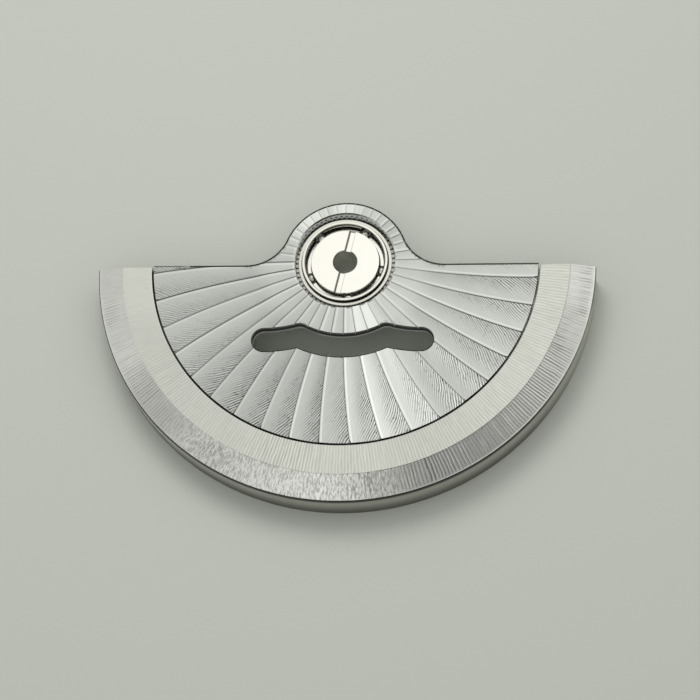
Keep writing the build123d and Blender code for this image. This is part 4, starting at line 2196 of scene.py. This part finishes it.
@dataclass
class Studio:
    """Pale floor, soft light and the camera of the photograph."""

    sizes: FrameSizes
    floor_colour: Colour = (0.549, 0.572, 0.520)
    floor_reach: float = 1500.0
    world_colour: Colour = (1.0, 1.0, 0.985)
    focal_pixels: float = 2400.0
    picture_pixels: float = 700.0
    sensor_width: float = 36.0
    camera_turns: Triple = (-21.5248, 5.2954, 1.7435)
    camera_offset: Triple = (-0.2600, -4.4610, 119.8728)
    horizon_level: float = 0.22
    ceiling_level: float = 0.80
    ceiling_edge: Pair = (0.25, 0.70)
    patches: tuple[SoftPatch, ...] = (
        SoftPatch((0.16, 0.40, 0.90), 4.0, 20.0, 0.50),
        SoftPatch((-0.07, -0.17, 0.98), 4.0, 13.0, 0.40),
        SoftPatch((0.28, -0.13, 0.95), 9.0, 11.0, -0.62),
        SoftPatch((-0.33, 0.02, 0.94), 6.0, 12.0, -0.22),
        SoftPatch((-0.47, 0.38, 0.80), 6.0, 14.0, 0.18),
        SoftPatch((0.60, 0.30, 0.74), 8.0, 14.0, 0.18),
    )
    lamps: tuple[Lamp, ...] = (Lamp("overhead_lamp", (-0.11, 0.45, 0.86), 92.0, 50.0, 4.35),)

    def floor(self) -> None:
        """Lays a plain pale floor under the rotor."""
        square = np.array([(-1, -1, 0), (1, -1, 0), (1, 1, 0), (-1, 1, 0)])
        corners = square * self.floor_reach + (0, 0, self.sizes.foot)
        mesh = bpy.data.meshes.new("floor")
        mesh.from_pydata((corners * MM).tolist(), [], [[0, 1, 2, 3]])
        floor = bpy.data.objects.new("floor", mesh)
        bpy.context.scene.collection.objects.link(floor)
        material, bench = new_material("floor_paint")
        bench.surface({"Base Color": self.floor_colour, "Roughness": 0.9, "Specular IOR Level": 0.1})
        floor.data.materials.append(material)

    def room(self) -> None:
        """Lights the scene from a room with a pale ceiling and darker walls.

        The level rises smoothly from the horizon to the ceiling with the upward part of the direction. A
        patch adds its gain where the cosine between the direction and its own passes that of its half angle.
        """
        world = bpy.data.worlds.new("studio_room")
        bpy.context.scene.world = world
        world.use_nodes = True
        bench = NodeBench(world.node_tree)
        view = bench.node("ShaderNodeTexCoord").outputs["Generated"]
        up = Signal(bench, bench.node("ShaderNodeSeparateXYZ", None, {0: view}).outputs[2])
        level = bench.step(up, *self.ceiling_edge, self.horizon_level, self.ceiling_level)
        for patch in self.patches:
            aim = tuple(Vector(patch.direction).normalized())
            product = bench.node("ShaderNodeVectorMath", {"operation": "DOT_PRODUCT"}, {0: view, 1: aim})
            outer = math.cos(math.radians(patch.half_angle + patch.softness))
            inner = math.cos(math.radians(patch.half_angle))
            level = level + bench.step(Signal(bench, product.outputs["Value"]), outer, inner, 0.0, patch.gain)
        light = bench.node("ShaderNodeBackground", None, {"Color": self.world_colour, "Strength": level})
        bench.node("ShaderNodeOutputWorld", None, {"Surface": light.outputs[0]})

    def light(self) -> None:
        """Hangs the soft boxes, each with the power that gives its face the wanted radiance."""
        for lamp in self.lamps:
            data = bpy.data.lights.new(lamp.name, "AREA")
            data.shape = "DISK"
            data.size = lamp.size * MM
            area = math.pi * (lamp.size * MM / 2.0) ** 2
            data.energy = lamp.radiance * math.pi * area
            holder = bpy.data.objects.new(lamp.name, data)
            aim = Vector(lamp.direction).normalized()
            turn = aim.to_track_quat("Z", "Y").to_matrix().to_4x4()
            holder.matrix_world = Matrix.Translation(aim * lamp.distance * MM) @ turn
            holder.visible_glossy = False
            holder.visible_camera = False
            bpy.context.scene.collection.objects.link(holder)

    def camera(self) -> None:
        """Sets the camera where the photograph's was, from three turns and an offset in its own axes."""
        turns = [
            Matrix.Rotation(math.radians(angle), 3, axis) for angle, axis in zip(self.camera_turns, "XYZ")
        ]
        flip = Matrix.Diagonal((1.0, -1.0, -1.0))
        seen = turns[0] @ turns[1] @ turns[2] @ flip
        place = -(seen.transposed() @ Vector(self.camera_offset)) + Vector((0.0, 0.0, self.sizes.top))
        data = bpy.data.cameras.new("camera")
        data.sensor_width = self.sensor_width
        data.lens = self.sensor_width * self.focal_pixels / self.picture_pixels
        data.clip_start = 0.005
        data.clip_end = 10.0
        camera = bpy.data.objects.new("camera", data)
        camera.matrix_world = Matrix.Translation(place * MM) @ (flip @ seen).transposed().to_4x4()
        bpy.context.scene.collection.objects.link(camera)
        bpy.context.scene.camera = camera

    def place(self) -> None:
        """Sets up the floor, the light and the camera."""
        self.floor()
        self.room()
        self.light()
        self.camera()
        bpy.context.scene.view_settings.view_transform = "Standard"


def main() -> None:
    """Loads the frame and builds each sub-assembly in its place."""
    logging.basicConfig(level=logging.INFO, format="%(name)s: %(message)s")
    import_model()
    sizes = FrameSizes.read()
    for assembly in (CarrierPlate(sizes), RimWeight(sizes), BallBearing(sizes), Studio(sizes)):
        assembly.place()


if __name__ == "__main__":
    main()
